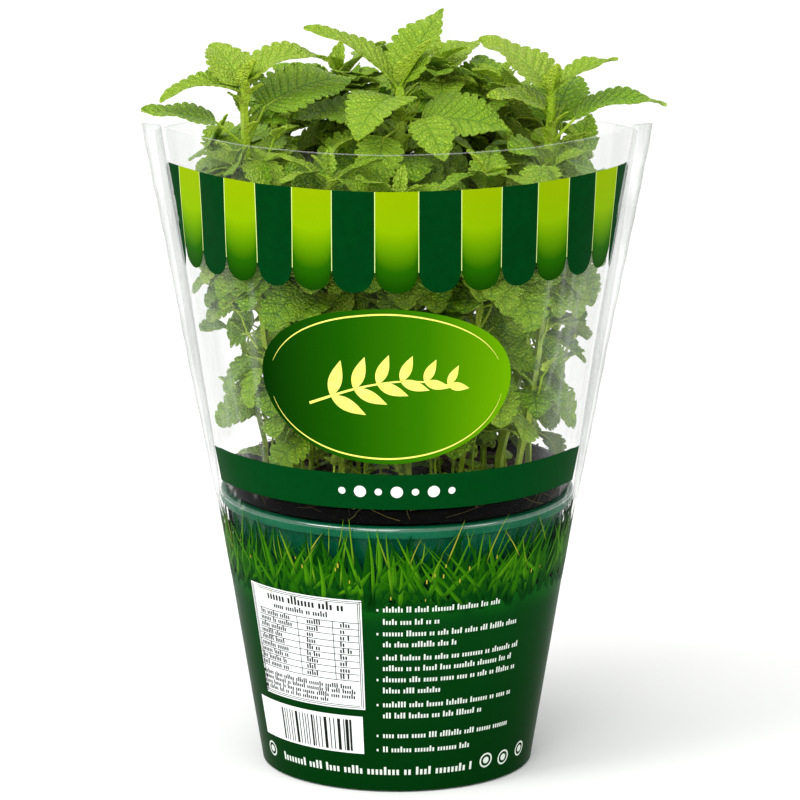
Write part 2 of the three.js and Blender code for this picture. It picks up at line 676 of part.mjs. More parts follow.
function soil() {
  const bottom = nurseryBottom + NURSERY_FLOOR + FIT_GAP;
  const body = lathe([
    [0, bottom],
    [nurseryInside(bottom) - FIT_GAP, bottom],
    [SOIL_RADIUS, SOIL_TOP - SOIL_SHOULDER],
    ...SOIL_RINGS.map((share) => [SOIL_RADIUS * share, SOIL_TOP]),
    [0, SOIL_TOP],
  ]);
  const places = body.attributes.position;
  for (let i = 0; i < places.count; i += 1) {
    if (places.getZ(i) > SOIL_TOP - SOIL_SHOULDER / 2) {
      places.setZ(i, soilHeight(places.getX(i), places.getY(i)));
    }
  }
  const holeHeight = 2 * (SOIL_TOP - STEM_HOLE_BOTTOM);
  const holes = stems.map((stem) => {
    const hole = new THREE.CylinderGeometry(
      STEM_HOLE_RADIUS, STEM_HOLE_RADIUS, holeHeight, STEM_HOLE_SIDES);
    hole.rotateX(Math.PI / 2);
    hole.translate(stem.foot[0], stem.foot[1], STEM_HOLE_BOTTOM + holeHeight / 2);
    return solidOf(hole);
  });
  return geometryOf(solidOf(body).subtract(wasm.Manifold.union(holes)));
}

// ---------- The plant ----------

addPiece('cover_pot', coverPot(), finishes.coverPlastic);
addPiece('nursery_pot', nurseryPot(), finishes.nurseryPlastic);
addPiece('soil', soil(), finishes.soil);
addPiece('sleeve', sleeve(), finishes.film);
stems.forEach((stem, i) => {
  const own = leaves.filter((leaf) => leaf.stem === i).map(leafSolid);
  const solid = wasm.Manifold.union([stemSolid(stem), ...own]);
  addPiece(`leafy_stem_${String(i + 1).padStart(2, '0')}`, geometryOf(solid), finishes.leaf);
});

export default lemonBalm;
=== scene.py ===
# %% [markdown]
# # A lemon balm plant in its printed sleeve
# The object is a herb as a garden shop sells it: a clump of lemon balm in a thin black nursery
# pot, set in a green cover pot, with a cone of clear film round the whole. This notebook loads
# the plain solids of that object and dresses them. Whatever is soft or thin, such as a leaf or
# the film, gets a finer mesh of its own that stays where its solid is.

# %% Load the frame
import math
from types import SimpleNamespace

import bpy
import numpy as np
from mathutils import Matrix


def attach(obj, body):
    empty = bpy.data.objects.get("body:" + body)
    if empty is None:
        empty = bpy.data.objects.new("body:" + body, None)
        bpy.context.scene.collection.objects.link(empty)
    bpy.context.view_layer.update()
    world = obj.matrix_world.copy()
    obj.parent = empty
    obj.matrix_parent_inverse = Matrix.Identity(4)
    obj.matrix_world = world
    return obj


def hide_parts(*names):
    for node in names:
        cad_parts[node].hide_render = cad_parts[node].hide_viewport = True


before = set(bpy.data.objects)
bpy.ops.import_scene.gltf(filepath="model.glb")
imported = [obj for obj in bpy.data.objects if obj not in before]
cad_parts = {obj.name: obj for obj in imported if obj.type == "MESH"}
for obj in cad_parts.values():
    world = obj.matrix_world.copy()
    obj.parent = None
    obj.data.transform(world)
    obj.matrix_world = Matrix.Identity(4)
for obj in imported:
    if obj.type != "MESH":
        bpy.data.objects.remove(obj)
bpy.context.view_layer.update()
MM = 0.001

# %% [markdown]
# ## Camera, floor and light
# A long lens from 2.4 metres away keeps the sleeve's sides almost straight, as in a catalogue
# picture. The floor and the sky are nearly white, and broad lamps on the left and in front give
# the leaves a soft bright side. Film and glossy plastic mirror a lamp's shape, so none is small.

# %% Camera
LOOK_DOWN = 0.239  # radians
scene = bpy.context.scene
scene.view_settings.view_transform = "Standard"


def in_scene(name, data, place=(0, 0, 0), turn=(0, 0, 0)):
    """Makes an object of a camera, a lamp or a mesh."""
    made = bpy.data.objects.new(name, data)
    made.location = place
    made.rotation_euler = turn
    scene.collection.objects.link(made)
    return made


optics = bpy.data.cameras.new("camera")
optics.lens = 328.3
optics.sensor_width = 36.0
optics.clip_end = 60.0
scene.camera = in_scene("camera", optics, (0.00103, -2.3602, 0.6978), (math.pi / 2 - LOOK_DOWN, 0, 0))
print("camera looks down by", round(math.degrees(LOOK_DOWN), 1), "degrees")

# %% Lamps and sky
AIM = np.array([0.0, 0.0, 0.12])
for name, place, size, power in (
        ("lamp_left", (-1.5, -1.1, 1.5), 0.9, 14.0), ("lamp_right", (1.5, -0.9, 1.0), 0.8, 5.0),
        ("lamp_front", (-0.5, -2.3, 1.1), 1.2, 14.0)):
    light = bpy.data.lights.new(name, "AREA")
    light.shape = "DISK"
    light.size = size
    light.energy = power
    ray = AIM - np.array(place)
    tilt = math.acos(-ray[2] / np.linalg.norm(ray))
    in_scene(name, light, place, (tilt, 0, math.atan2(ray[1], ray[0]) - math.pi / 2))
sun = bpy.data.lights.new("sun", "SUN")
sun.energy = 1.36
sun.angle = math.radians(60)
in_scene("sun", sun, turn=(math.radians(24), math.radians(-22), 0))
sky = bpy.data.worlds.new("sky")
sky.use_nodes = True
background = sky.node_tree.nodes["Background"].inputs
background["Color"].default_value = (1.0, 1.0, 1.0, 1.0)
background["Strength"].default_value = 0.8
scene.world = sky
print("lamps:", len(bpy.data.lights))

# %% [markdown]
# ## A small language for finishes
# Every finish below is made of shader nodes. Adding and linking nodes by hand hides the idea
# behind it, so two small classes do that: `Wire` wraps a socket and lets plain sums work on it,
# and `Finish.node` adds any other node from its settings and its inputs.


# %% Wire
class Wire:
    """A shader socket that can be used in sums."""

    def __init__(self, finish, socket):
        self.finish = finish
        self.socket = socket

    def maths(self, operation, *others):
        inputs = dict(enumerate((self, *others)))
        return self.finish.node("ShaderNodeMath", {"operation": operation}, inputs)

    def __add__(self, other):
        return self.maths("ADD", other)

    def __sub__(self, other):
        return self.maths("SUBTRACT", other)

    def __rsub__(self, other):
        return self.finish.node("ShaderNodeMath", {"operation": "SUBTRACT"}, {0: other, 1: self})

    def __mul__(self, other):
        return self.maths("MULTIPLY", other)

    def __abs__(self):
        return self.maths("ABSOLUTE")

    __radd__, __rmul__ = __add__, __mul__

    def rise(self, low, high):
        """0 up to low, 1 from high, smooth between."""
        return self.finish.node(
            "ShaderNodeMapRange", {"interpolation_type": "SMOOTHSTEP"},
            {"Value": self, "From Min": low, "From Max": high})


print("a wire can", ", ".join(name.strip("_") for name in vars(Wire) if callable(getattr(Wire, name))))


# %% Colours
def paint(code):
    """A colour written as six hex digits, as linear light."""
    parts = [int(code[i:i + 2], 16) / 255.0 for i in (0, 2, 4)]
    linear = [c / 12.92 if c <= 0.04045 else ((c + 0.055) / 1.055) ** 2.4 for c in parts]
    return (*linear, 1.0)


print("a mid green in linear light:", [round(c, 3) for c in paint("7b9b37")])


# %% Finish
class Finish:
    """A material under construction."""

    def __init__(self, name):
        self.material = bpy.data.materials.new(name)
        self.material.use_nodes = True
        self.tree = self.material.node_tree
        self.tree.nodes.clear()

    def node(self, kind, settings=None, inputs=None, output=0):
        """Adds a node. Settings are set first, then inputs: a value, a colour's code or a wire."""
        made = self.tree.nodes.new(kind)
        for name, value in (settings or {}).items():
            if name == "stops":
                ramp = made.color_ramp.elements
                while len(ramp) < len(value):
                    ramp.new(1.0)
                for stop, (place, code) in zip(ramp, value):
                    stop.position = place
                    stop.color = paint(code)
            else:
                setattr(made, name, value)
        for key, value in (inputs or {}).items():
            if isinstance(value, Wire):
                self.tree.links.new(value.socket, made.inputs[key])
            else:
                made.inputs[key].default_value = paint(value) if isinstance(value, str) else value
        if output == "all":
            return [Wire(self, socket) for socket in made.outputs]
        return Wire(self, made.outputs[output])

    def mix(self, share, first, second):
        """A colour between first, at share 0, and second, at share 1."""
        return self.node("ShaderNodeMix", {"data_type": "RGBA"}, {0: share, 6: first, 7: second}, 2)

    def marks(self, name):
        """The three numbers that the mesh carries under that name."""
        vector = self.node("ShaderNodeAttribute", {"attribute_name": name}, None, 1)
        return self.node("ShaderNodeSeparateXYZ", None, {0: vector}, "all")

    def place(self, stretch=(1.0, 1.0, 1.0)):
        """The place on the object in metres, stretched."""
        at = self.node("ShaderNodeTexCoord", None, None, 3)
        return self.node("ShaderNodeVectorMath", {"operation": "MULTIPLY"}, {0: at, 1: stretch})

    def noise(self, scale, detail=2.0, stretch=(1.0, 1.0, 1.0)):
        return self.node(
            "ShaderNodeTexNoise", None, {"Vector": self.place(stretch), "Scale": scale, "Detail": detail})

    def bump(self, height, depth, strength=1.0):
        return self.node(
            "ShaderNodeBump", None, {"Height": height, "Distance": depth, "Strength": strength})

    def surface(self, tone, roughness, specular, **more):
        inputs = {"Base Color": tone, "Roughness": roughness, "Specular IOR Level": specular}
        inputs.update((name.replace("_", " "), value) for name, value in more.items())
        return self.node("ShaderNodeBsdfPrincipled", None, inputs)

    def done(self, shader):
        """The finished material, with that shader as its surface."""
        self.node("ShaderNodeOutputMaterial", None, {"Surface": shader}, "all")
        return self.material


print("materials that came with the solids:", len(bpy.data.materials))

# %% Floor
floor_finish = Finish("studio_floor")
grey = floor_finish.noise(3.0).rise(0.2, 0.8)
floor_mesh = bpy.data.meshes.new("studio_floor")
floor_mesh.from_pydata([(-9, -7, 0), (9, -7, 0), (9, 25, 0), (-9, 25, 0)], [], [(0, 1, 2, 3)])
floor_mesh.materials.append(floor_finish.done(
    floor_finish.surface(floor_finish.mix(grey, "f0f1f0", "f5f5f4"), 0.9, 0.1)))
floor = in_scene("studio_floor", floor_mesh)
print("the floor is 18 metres wide and 32 deep")

# %% [markdown]
# ## Collecting a mesh
# A plant has hundreds of small parts that belong to one piece. `Heap` collects points and faces
# in millimetres, with named numbers for every point that the finishes read later. Building whole
# arrays and making one mesh at the end is far quicker than joining objects.


# %% Heap
class Heap:
    """Points, faces and marks of one piece while it is collected."""

    in_all = 0

    def __init__(self, *marks):
        self.points = []
        self.faces = []
        self.count = 0
        self.marks = {name: [] for name in marks}

    def add(self, points, faces, **marks):
        points = np.asarray(points, float).reshape(-1, 3)
        for group in faces:
            self.faces.extend((np.asarray(group) + self.count).tolist())
        self.points.append(points)
        self.count += len(points)
        for name, kept in self.marks.items():
            kept.append(np.broadcast_to(np.asarray(marks[name], float), (len(points), 3)))

    def mesh(self, name):
        made = bpy.data.meshes.new(name)
        made.from_pydata((np.concatenate(self.points) * MM).tolist(), [], self.faces)
        return made

    def piece(self, name, finish, slot, replaces=(), sharp=None):
        """Makes the object, and hides the solids that it replaces."""
        mesh = self.mesh(name)
        for mark, rows in self.marks.items():
            data = mesh.attributes.new(mark, "FLOAT_VECTOR", "POINT").data
            data.foreach_set("vector", np.concatenate(rows).astype(np.float32).ravel())
        mesh.polygons.foreach_set("use_smooth", [True] * len(mesh.polygons))
        if sharp is not None:
            mesh.set_sharp_from_angle(angle=math.radians(sharp))
        mesh.materials.append(finish)
        made = in_scene(name, mesh)
        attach(made, "root")
        if replaces:
            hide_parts(*replaces)
        triangles = sum(len(face) - 2 for face in self.faces)
        Heap.in_all += triangles
        print(f"{name}: {triangles} triangles")
        return made


# %% Grids and rings
def grid_faces(rows, columns, flip=False, closed=False):
    """The quads of a grid of points, row after row; closed joins the last column to the first."""
    j = np.arange(columns if closed else columns - 1)
    i = np.arange(rows - 1)[:, None]
    a = i * columns + j
    b = i * columns + (j + 1) % columns
    quads = np.stack([a, b, b + columns, a + columns], -1).reshape(-1, 4)
    return quads[:, ::-1] if flip else quads


def turns(sides):
    """Angles all round, in radians."""
    return np.linspace(0, 2 * np.pi, sides, endpoint=False)


def round_axis(radius, turn, z):
    """Points by their distance from the axis, their angle in radians and their height."""
    return np.stack(np.broadcast_arrays(radius * np.cos(turn), radius * np.sin(turn), z), -1)


def stacked(rings, poles=None):
    """A closed solid from rings of points, ended by flat faces or by two poles."""
    count, sides = rings.shape[:2]
    walls = grid_faces(count, sides, closed=True)
    ring = np.arange(sides)
    last = (count - 1) * sides
    if poles is None:
        return rings.reshape(-1, 3), [walls, ring[None, ::-1], ring[None] + last]
    after = (ring + 1) % sides
    pole = np.full(sides, last + sides)
    bottom = np.stack([after, ring, pole], -1)
    top = np.stack([ring + last, after + last, pole + 1], -1)
    return np.concatenate([rings.reshape(-1, 3), poles]), [walls, bottom, top]


print("quads of a grid of 3 rows and 4 columns:", len(grid_faces(3, 4)))


# %% Lathe and tube
def lathe(profile, sides=144):
    """A closed solid of revolution; the profile starts and ends on the axis."""
    profile = np.asarray(profile, float)
    rings = round_axis(profile[1:-1, :1], turns(sides)[None], profile[1:-1, 1:])
    return stacked(rings, [[0, 0, profile[0, 1]], [0, 0, profile[-1, 1]]])


def tube(path, radii, sides, side_vector):
    """A closed round bar along a path, its section kept upright by side_vector."""
    path = np.asarray(path, float)
    radii = np.broadcast_to(np.asarray(radii, float), len(path))[:, None, None]
    ahead = np.gradient(path, axis=0)
    ahead /= np.linalg.norm(ahead, axis=1)[:, None]
    side_vector = np.asarray(side_vector, float)
    side = side_vector - ahead * (ahead @ side_vector)[:, None]
    side /= np.linalg.norm(side, axis=1)[:, None]
    over = np.cross(ahead, side)
    turn = turns(sides)[None, :, None]
    return stacked(path[:, None] + radii * (np.cos(turn) * side[:, None] + np.sin(turn) * over[:, None]))


print("faces of a drum with 12 sides:", sum(map(len, lathe([(0, 0), (1, 0), (1, 1), (0, 1)], 12)[1])))


# %% [markdown]
# ## The cover pot
# The cover pot is injection-moulded plastic, a truncated cone with a bead round its rim. It is
# turned on a lathe in code: a profile of radius and height, spun round the axis. The profile has
# extra points at each edge, because a moulded edge is rounded and that is where light catches.


# %% Rounded profile
def rounded(profile, radii, steps=4):
    """Cuts the corners of a profile into small arcs; radii maps a corner's place to its radius."""
    profile = np.asarray(profile, float)
    made = []
    for i, corner in enumerate(profile):
        if i not in radii:
            made.append(corner)
            continue
        start, end = (corner + way / np.linalg.norm(way) * radii[i]
                      for way in (profile[i - 1] - corner, profile[i + 1] - corner))
        for t in np.linspace(0, 1, steps + 1):
            made.append((1 - t) ** 2 * start + 2 * t * (1 - t) * corner + t ** 2 * end)
    return made


print("points of a square with one round corner:", len(rounded([(0, 0), (1, 0), (1, 1), (0, 1)], {2: 0.2})))


# %% Cover pot
COVER_HEIGHT = 94.0
COVER_BASE_RADIUS = 44.2
COVER_RIM_RADIUS = 59.0
COVER_BEAD = 2.6
COVER_WALL = 1.2
COVER_FLOOR = 1.6
BEAD_FOOT = 89.8


def cover_outside(z):
    return COVER_BASE_RADIUS + (COVER_RIM_RADIUS - COVER_BEAD - COVER_BASE_RADIUS) * z / COVER_HEIGHT


cover_profile = rounded([
    (0, 0), (COVER_BASE_RADIUS, 0), (cover_outside(BEAD_FOOT), BEAD_FOOT),
    (COVER_RIM_RADIUS, BEAD_FOOT + 0.1), (COVER_RIM_RADIUS, COVER_HEIGHT),
    (cover_outside(COVER_HEIGHT) - COVER_WALL, COVER_HEIGHT),
    (cover_outside(COVER_FLOOR) - COVER_WALL, COVER_FLOOR), (0, COVER_FLOOR)],
    {1: 1.4, 2: 0.5, 3: 1.2, 4: 1.3, 5: 0.5, 6: 1.0})
plastic = Finish("cover_pot_plastic")
patchy = plastic.noise(35.0, 3.0)
height = plastic.node("ShaderNodeSeparateXYZ", None, {0: plastic.place()}, 2)
bead_edge = height.rise(0.0925, 0.0929) * (1 - height.rise(0.0938, 0.0940))
cover_finish = plastic.done(plastic.surface(
    plastic.mix(patchy.rise(0.3, 0.7), "014f32", "065a3c"), patchy * 0.1 + 0.18, 0.1,
    Coat_Weight=bead_edge, Coat_Roughness=0.05, Coat_IOR=2.0,
    Normal=plastic.bump(plastic.noise(900.0), 0.0001, 0.2)))
cover = Heap()
cover.add(*lathe(cover_profile))
cover.piece("cover_pot_shell", cover_finish, "cover_plastic", ["cover_pot"], sharp=40)

# %% [markdown]
# ## The nursery pot
# The black pot that the plant grew in is thinner and more glossy, and stands a few millimetres
# proud of the cover pot. Its floor has five drain holes, cut with a boolean modifier, which is
# the quickest way to put round holes in a turned form.

# %% Nursery pot
NURSERY_TOP = 99.6
NURSERY_BOTTOM = 1.9
NURSERY_FLOOR = 3.3
NURSERY_WALL = 1.0
LIP_FOOT = 94.3


def nursery_outside(z):
    return cover_outside(z) - COVER_WALL - 0.5


lip = nursery_outside(NURSERY_TOP) + 1.6
nursery_profile = rounded([
    (0, NURSERY_BOTTOM), (nursery_outside(NURSERY_BOTTOM), NURSERY_BOTTOM),
    (nursery_outside(LIP_FOOT), LIP_FOOT), (lip, LIP_FOOT), (lip, NURSERY_TOP),
    *((nursery_outside(z) - NURSERY_WALL, z) for z in (NURSERY_TOP, 92, NURSERY_FLOOR)),
    (0, NURSERY_FLOOR)],
    {1: 1.0, 2: 0.4, 3: 0.7, 4: 0.9, 5: 0.5, 7: 0.8})
black = Finish("nursery_pot_plastic")
streaks = black.noise(60.0, 4.0, (1.0, 1.0, 6.0))
dust = black.noise(260.0, 6.0).rise(0.6, 0.9)
nursery_finish = black.done(black.surface(
    black.mix(dust * 0.3, "040504", "241e18"), 0.14 + streaks * 0.12 + dust * 0.3, 0.025,
    Normal=black.bump(streaks, 0.0006, 0.6)))
nursery = Heap()
nursery.add(*lathe(nursery_profile))
nursery_piece = nursery.piece(
    "nursery_pot_shell", nursery_finish, "nursery_plastic", ["nursery_pot"], sharp=40)

# %% Drain holes
DRAINS = 5
DRAINS_FROM_AXIS = 27
DRAIN_RADIUS = 4.5
drains = Heap()
for i in range(DRAINS):
    angle = i / DRAINS * 2 * math.pi
    centre = np.array([DRAINS_FROM_AXIS * math.cos(angle), DRAINS_FROM_AXIS * math.sin(angle), 0])
    drains.add(*tube(centre + [[0, 0, -1.0], [0, 0, 6.0]], DRAIN_RADIUS, 24, (1, 0, 0)))
drain_tool = in_scene("drains", drains.mesh("drains"))
cut = nursery_piece.modifiers.new("drain_holes", "BOOLEAN")
cut.operation = "DIFFERENCE"
cut.object = drain_tool
cut.solver = "EXACT"
graph = bpy.context.evaluated_depsgraph_get()
with_holes = bpy.data.meshes.new_from_object(nursery_piece.evaluated_get(graph))
nursery_piece.modifiers.clear()
nursery_piece.data = with_holes
bpy.data.objects.remove(drain_tool)
print("nursery pot faces:", len(with_holes.polygons))

# %% [markdown]
# ## Chance that repeats
# The plant is grown by a rule with chance in it. The same simple generator of numbers gives the
# same plant each time, and it draws in the same order as the solids did, so every leaf below sits
# on its solid.

# %% Chance
draw = 20417


def chance(low, high):
    global draw
    draw = (draw * 16807) % 2147483647
    return low + (high - low) * (draw / 2147483647)


print("the row of numbers starts from", draw)


# %% [markdown]
# ## The sleeve's shape
# The film is a cone round the pot. Its front panel is taut and round, its back panel is slack and
# falls in above the pot, and a sealed seam runs down each side. A few functions give the film at
# any angle and height; the film, the ink on it and the room for leaves all come from them.

# %% Film functions
RIM = 92.0
TOP = 223.8
SLEEVE_FOOT, SLEEVE_RIM, SLEEVE_MOUTH = 44.6, 59.7, 84.4  # radii
INSET_LOW, INSET_HIGH = 0.8, 8.3  # how far the seams lie inside the film's widest line
SLACK = 0.26  # share of the radius by which the back falls in
BACK_DIP = 18.0


def above_rim(z):
    return np.maximum(0.0, (z - RIM) / (TOP - RIM))


def sleeve_radius(z):
    return np.where(np.asarray(z) < RIM, SLEEVE_FOOT + (SLEEVE_RIM - SLEEVE_FOOT) * z / RIM,
                    SLEEVE_RIM + (SLEEVE_MOUTH - SLEEVE_RIM) * above_rim(z))


def seam_inset(z):
    return INSET_LOW + (INSET_HIGH - INSET_LOW) * np.sqrt(above_rim(z))


def seam_angle(z):
    return np.degrees(np.arcsin(1 - seam_inset(z) / (sleeve_radius(z) + 0.6)))


def behind_seam(angle, z):
    seam = seam_angle(z)
    return np.maximum(0.0, (np.abs(angle) - seam) / (180 - seam))


def film_radius(angle, z):
    slack = above_rim(z) * np.sin(np.pi / 2 * behind_seam(angle, z))
    return sleeve_radius(z) * (1 - SLACK * slack)


def film_top(angle):
    return TOP - BACK_DIP * np.sqrt(behind_seam(angle, TOP))


print("film radius at the rim and the top:", float(sleeve_radius(RIM)), float(sleeve_radius(TOP)))

# %% [markdown]
# ## Stems
# Lemon balm has square stems, and its leaves stand in pairs, each pair crosswise to the next.
# Sixteen main stems carry the plant. Each leaves the soil upright and leans out towards its tip.

# %% Stem table
LEAN_FROM = 106.0
STEMS = [SimpleNamespace(foot=foot, tip=tip, turn=turn, size=size) for foot, tip, turn, size in (
    ((2, -14), (1, -20, 233.5), 0, 1), ((-34, -14), (-50, -24, 234), 30, 1),
    ((34, -12), (50.5, -24, 232.5), 60, 1), ((-18, -34), (-22, -46, 210), 95, 0.8),
    ((4, -38), (1, -49, 204), 85, 0.85), ((21, -31), (29, -44, 209), 176, 0.8),
    ((-36, -26), (-46, -33, 193), 55, 0.75), ((40, -22), (50, -32, 196), 120, 0.75),
    ((-44, 8), (-59, 12, 209), 5, 0.8), ((44, 10), (60, 13, 206), 160, 0.8),
    ((12, 14), (15, 26, 233), 140, 0.95), ((-16, 12), (-20, 22, 230), 70, 0.95),
    ((29, 13), (34, 24, 226), 20, 0.9), ((-28, 31), (-40, 42, 216), 130, 0.9),
    ((0, 37), (1, 52, 216), 40, 0.9), ((26, 33), (38, 43, 213), 60, 0.9))]


def stem_axis(stem, z):
    climb = np.maximum(0.0, (z - LEAN_FROM) / (stem.tip[2] - LEAN_FROM))
    lean = 1 - np.maximum(0.0, 1 - climb) ** 1.7
    x, y = (stem.foot[i] + (stem.tip[i] - stem.foot[i]) * lean for i in (0, 1))
    return np.stack([x, y, z + 0 * lean], -1)


print("stems:", len(STEMS))

# %% [markdown]
# ## One leaf
# A leaf is a petiole and a blade. A point on it is named by how far along it is, from -1 at the
# stem over 0 at the foot of the blade to 1 at its tip, and how far across. The blade starts at a
# pitch, droops along an arc, is folded up along its middle and rippled at its margin.


# %% Leaf form
LEAF_FOOT = 0.35  # how slowly a blade widens from its foot; leaf.point does the same at the tip


def leaf_point(leaf, along, half_width, across, lift):
    along, half_width, across, lift = np.broadcast_arrays(along, half_width, across, lift)
    on_petiole = np.minimum(0.0, along) + 1
    on_blade = np.maximum(0.0, along)
    end = leaf.pitch - leaf.bend * on_blade
    slope = np.where(along < 0, leaf.rise, end)
    run = leaf.petiole * on_petiole * math.cos(leaf.rise) \
        + leaf.length * (math.sin(leaf.pitch) - np.sin(end)) / leaf.bend
    climb = leaf.petiole * on_petiole * math.sin(leaf.rise) \
        + leaf.length * (np.cos(end) - math.cos(leaf.pitch)) / leaf.bend
    fold = np.where(along < 0, 0.0, leaf.fold)
    side = half_width * across * np.cos(fold)
    wave = leaf.ripple * np.abs(across) * on_blade * np.sin(11 * on_blade + 2 * across)
    raised = half_width * np.abs(across) * np.sin(fold) + wave + lift
    level = side * math.cos(leaf.roll) - raised * math.sin(leaf.roll)
    up = side * math.sin(leaf.roll) + raised * math.cos(leaf.roll)
    forward = run - up * np.sin(slope)
    out = (math.cos(leaf.azimuth), math.sin(leaf.azimuth))
    return np.stack([
        leaf.root[0] + out[0] * forward - out[1] * level,
        leaf.root[1] + out[1] * forward + out[0] * level,
        leaf.root[2] + climb + up * np.cos(slope)], -1)


def blade_half_width(leaf, along):
    shape = (1 - along) ** leaf.point * along ** LEAF_FOOT
    widest = LEAF_FOOT / (LEAF_FOOT + leaf.point)
    most = (1 - widest) ** leaf.point * widest ** LEAF_FOOT
    return leaf.width / 2 * (shape / most)


def wanted(stem, root, azimuth, form, **rest):
    """A leaf to try. Its form is rise, petiole, pitch, bend, fold and roll, the angles in degrees."""
    rise, petiole, *bends = form
    pitch, bend, fold, roll = map(math.radians, bends)
    return SimpleNamespace(stem=stem, root=root, azimuth=azimuth, rise=math.radians(rise), petiole=petiole,
                           pitch=pitch, bend=bend, fold=fold, roll=roll, **rest)


print("most blades are widest at", round(LEAF_FOOT / (LEAF_FOOT + 0.8), 2), "of their length")


# %% [markdown]
# ## Room for a leaf
# Before a leaf is kept, some of its points are tried: they have to be inside the film, above the
# soil, and clear of all stems and of the leaves that are there already. A leaf that has no room
# is turned, lifted or made smaller, and at last left out, as a shaded leaf is on a real plant.

# %% Places to try
BLADE_TRIES = np.array(
    [(a, c) for a in (0.05, 0.22, 0.39, 0.56, 0.73, 0.9) for c in (-0.95, -0.48, 0, 0.48, 0.95)]
    + [(1.0, 0.0)])
STALK_TRIES = np.array([-0.6, -0.3, 0.0])
OUTER = BLADE_TRIES[:, 0] > 0.3
BENT_ASIDE = (  # turn, lift, scale
    (0, 0, 1), (0, 14, 1), (0, -14, 1), (18, 5, 1), (-18, 5, 1), (0, 28, 0.92), (30, 12, 0.9),
    (-30, 12, 0.9), (0, -26, 0.85), (0, 42, 0.8), (40, 30, 0.75), (-40, 30, 0.75), (0, 10, 0.65),
    (25, 0, 0.6), (-25, 0, 0.6))
SOIL_TOP = 94.4
SOIL_RADIUS = float(nursery_outside(SOIL_TOP)) - 1.3
leaves = []
leaf_middles = np.zeros((5000, 3))
leaf_reaches = np.zeros(5000)
print("points tried on a leaf:", len(BLADE_TRIES) + len(STALK_TRIES), "ways to place it:", len(BENT_ASIDE))


# %% Near the film, a stem or a leaf
def leaves_round(middle, reach):
    """The leaves whose surrounding balls touch this one."""
    count = len(leaves)
    apart = np.linalg.norm(leaf_middles[:count] - middle, axis=1)
    return [leaves[k] for k in np.flatnonzero(apart <= leaf_reaches[:count] + reach)]


def inside_film(points, gap):
    x, y, z = points.T
    from_axis = np.hypot(x, y)
    angle = np.degrees(np.arctan2(x, -y))
    ground = np.where(from_axis > SOIL_RADIUS - 6, NURSERY_TOP, SOIL_TOP)
    inside = (z > ground + 4) & (from_axis < film_radius(angle, z) - gap)
    return bool(np.all((z > film_top(angle) + gap) | inside))


def stem_near(stem, points, gap):
    axis = stem_axis(stem, np.minimum(points[:, 2], stem.tip[2]))
    close = np.hypot(points[:, 0] - axis[:, 0], points[:, 1] - axis[:, 1]) < gap
    return bool(np.any(close & (points[:, 2] <= stem.tip[2] + gap)))


def near(points, others, gap):
    apart = points[:, None] - others[None]
    return bool((np.einsum("ijk,ijk->ij", apart, apart) < gap * gap).any())


print("a point on the axis is inside the film:", inside_film(np.array([[0.0, 0.0, 150.0]]), 1.0))


# %% Has it room
def has_room(leaf, gaps):
    along, across = BLADE_TRIES.T
    blade = leaf_point(leaf, along, blade_half_width(leaf, along), across, 0.0)
    if not inside_film(blade, gaps.film):
        return False
    whole = np.concatenate([blade, leaf_point(leaf, STALK_TRIES, 0.0, 0.0, 0.0)])
    outer = blade[OUTER]
    if any(stem_near(stem, outer if i == leaf.stem else whole, gaps.stem) for i, stem in enumerate(STEMS)):
        return False
    middle = whole.mean(0)
    reach = np.linalg.norm(whole - middle, axis=1).max()
    for other in leaves_round(middle, reach + gaps.leaf):
        mine, its, gap = (outer, other.outer, gaps.own) if other.stem == leaf.stem \
            else (whole, other.whole, gaps.leaf)
        if near(mine, its, gap):
            return False
    leaf.outer, leaf.whole = outer, whole
    leaf_middles[len(leaves)] = middle
    leaf_reaches[len(leaves)] = reach
    return True


def grow_leaf(wish, gaps, tries):
    """Keeps the leaf, bent aside if it has to be, and says whether it had room."""
    for turn, lift, scale in tries:
        leaf = SimpleNamespace(**vars(wish))
        leaf.azimuth += math.radians(turn)
        leaf.pitch += math.radians(lift)
        leaf.rise += math.radians(lift / 2)
        leaf.length *= scale
        leaf.width *= scale
        if has_room(leaf, gaps):
            leaves.append(leaf)
            return True
    return False


print("leaves so far:", len(leaves))

# %% [markdown]
# ## The leaves of the solids
# First the showy leaves round the tips of the three tallest stems, each listed in a table, and then
# pairs of leaves down every stem. This part repeats the rule that the solids were made by.

# %% Tables of leaves
SOLID_GAPS = SimpleNamespace(film=1.5, leaf=4.2, own=2.6, stem=3.1)
LOWEST_NODE = 112
TIP_LEAVES = (  # stem, below the tip, azimuth, rise, petiole, pitch, bend, fold, roll, length, width
    (0, 2, 178, 60, 3, 52, 42, 12, -6, 36, 18), (0, 3, 48, 75, 4, 60, 28, 15, 0, 30, 20),
    (0, 1, -35, 70, 2, 58, 12, 32, 0, 20, 10), (0, 5, 237, 25, 3, 12, 75, 8, 0, 27, 22),
    (0, 20, -18, 50, 11, 14, 35, 8, 24, 31, 24), (0, 19, 165, 45, 10, 18, 40, 8, -14, 30, 22),
    (1, 0, 18, 60, 3, 60, 76, 14, 8, 30, 17), (1, 2, 125, 70, 2, 48, 35, 10, 0, 22, 20),
    (1, 3, 188, 50, 2, 42, 70, 15, -8, 28, 14), (1, 20, 187, 40, 13, 17, 14, 6, -6, 25, 19),
    (1, 20, 12, 58, 14, 24, 40, 6, 14, 37, 26), (1, 1, -60, 70, 1, 62, 20, 32, 0, 13, 7),
    (2, 2, 152, 70, 3, 48, 40, 8, 0, 30, 23), (2, 2, 8, 60, 3, 44, 40, 14, 6, 23, 13),
    (2, 18, 0, 47, 12, 39, 63, 8, 6, 32, 18), (2, 8, 182, 40, 3, 22, 50, 10, -10, 20, 15),
    (2, 1, -70, 70, 1, 65, 15, 32, 0, 12, 7), (2, 18, 70, 55, 8, 45, 40, 8, 0, 26, 19))
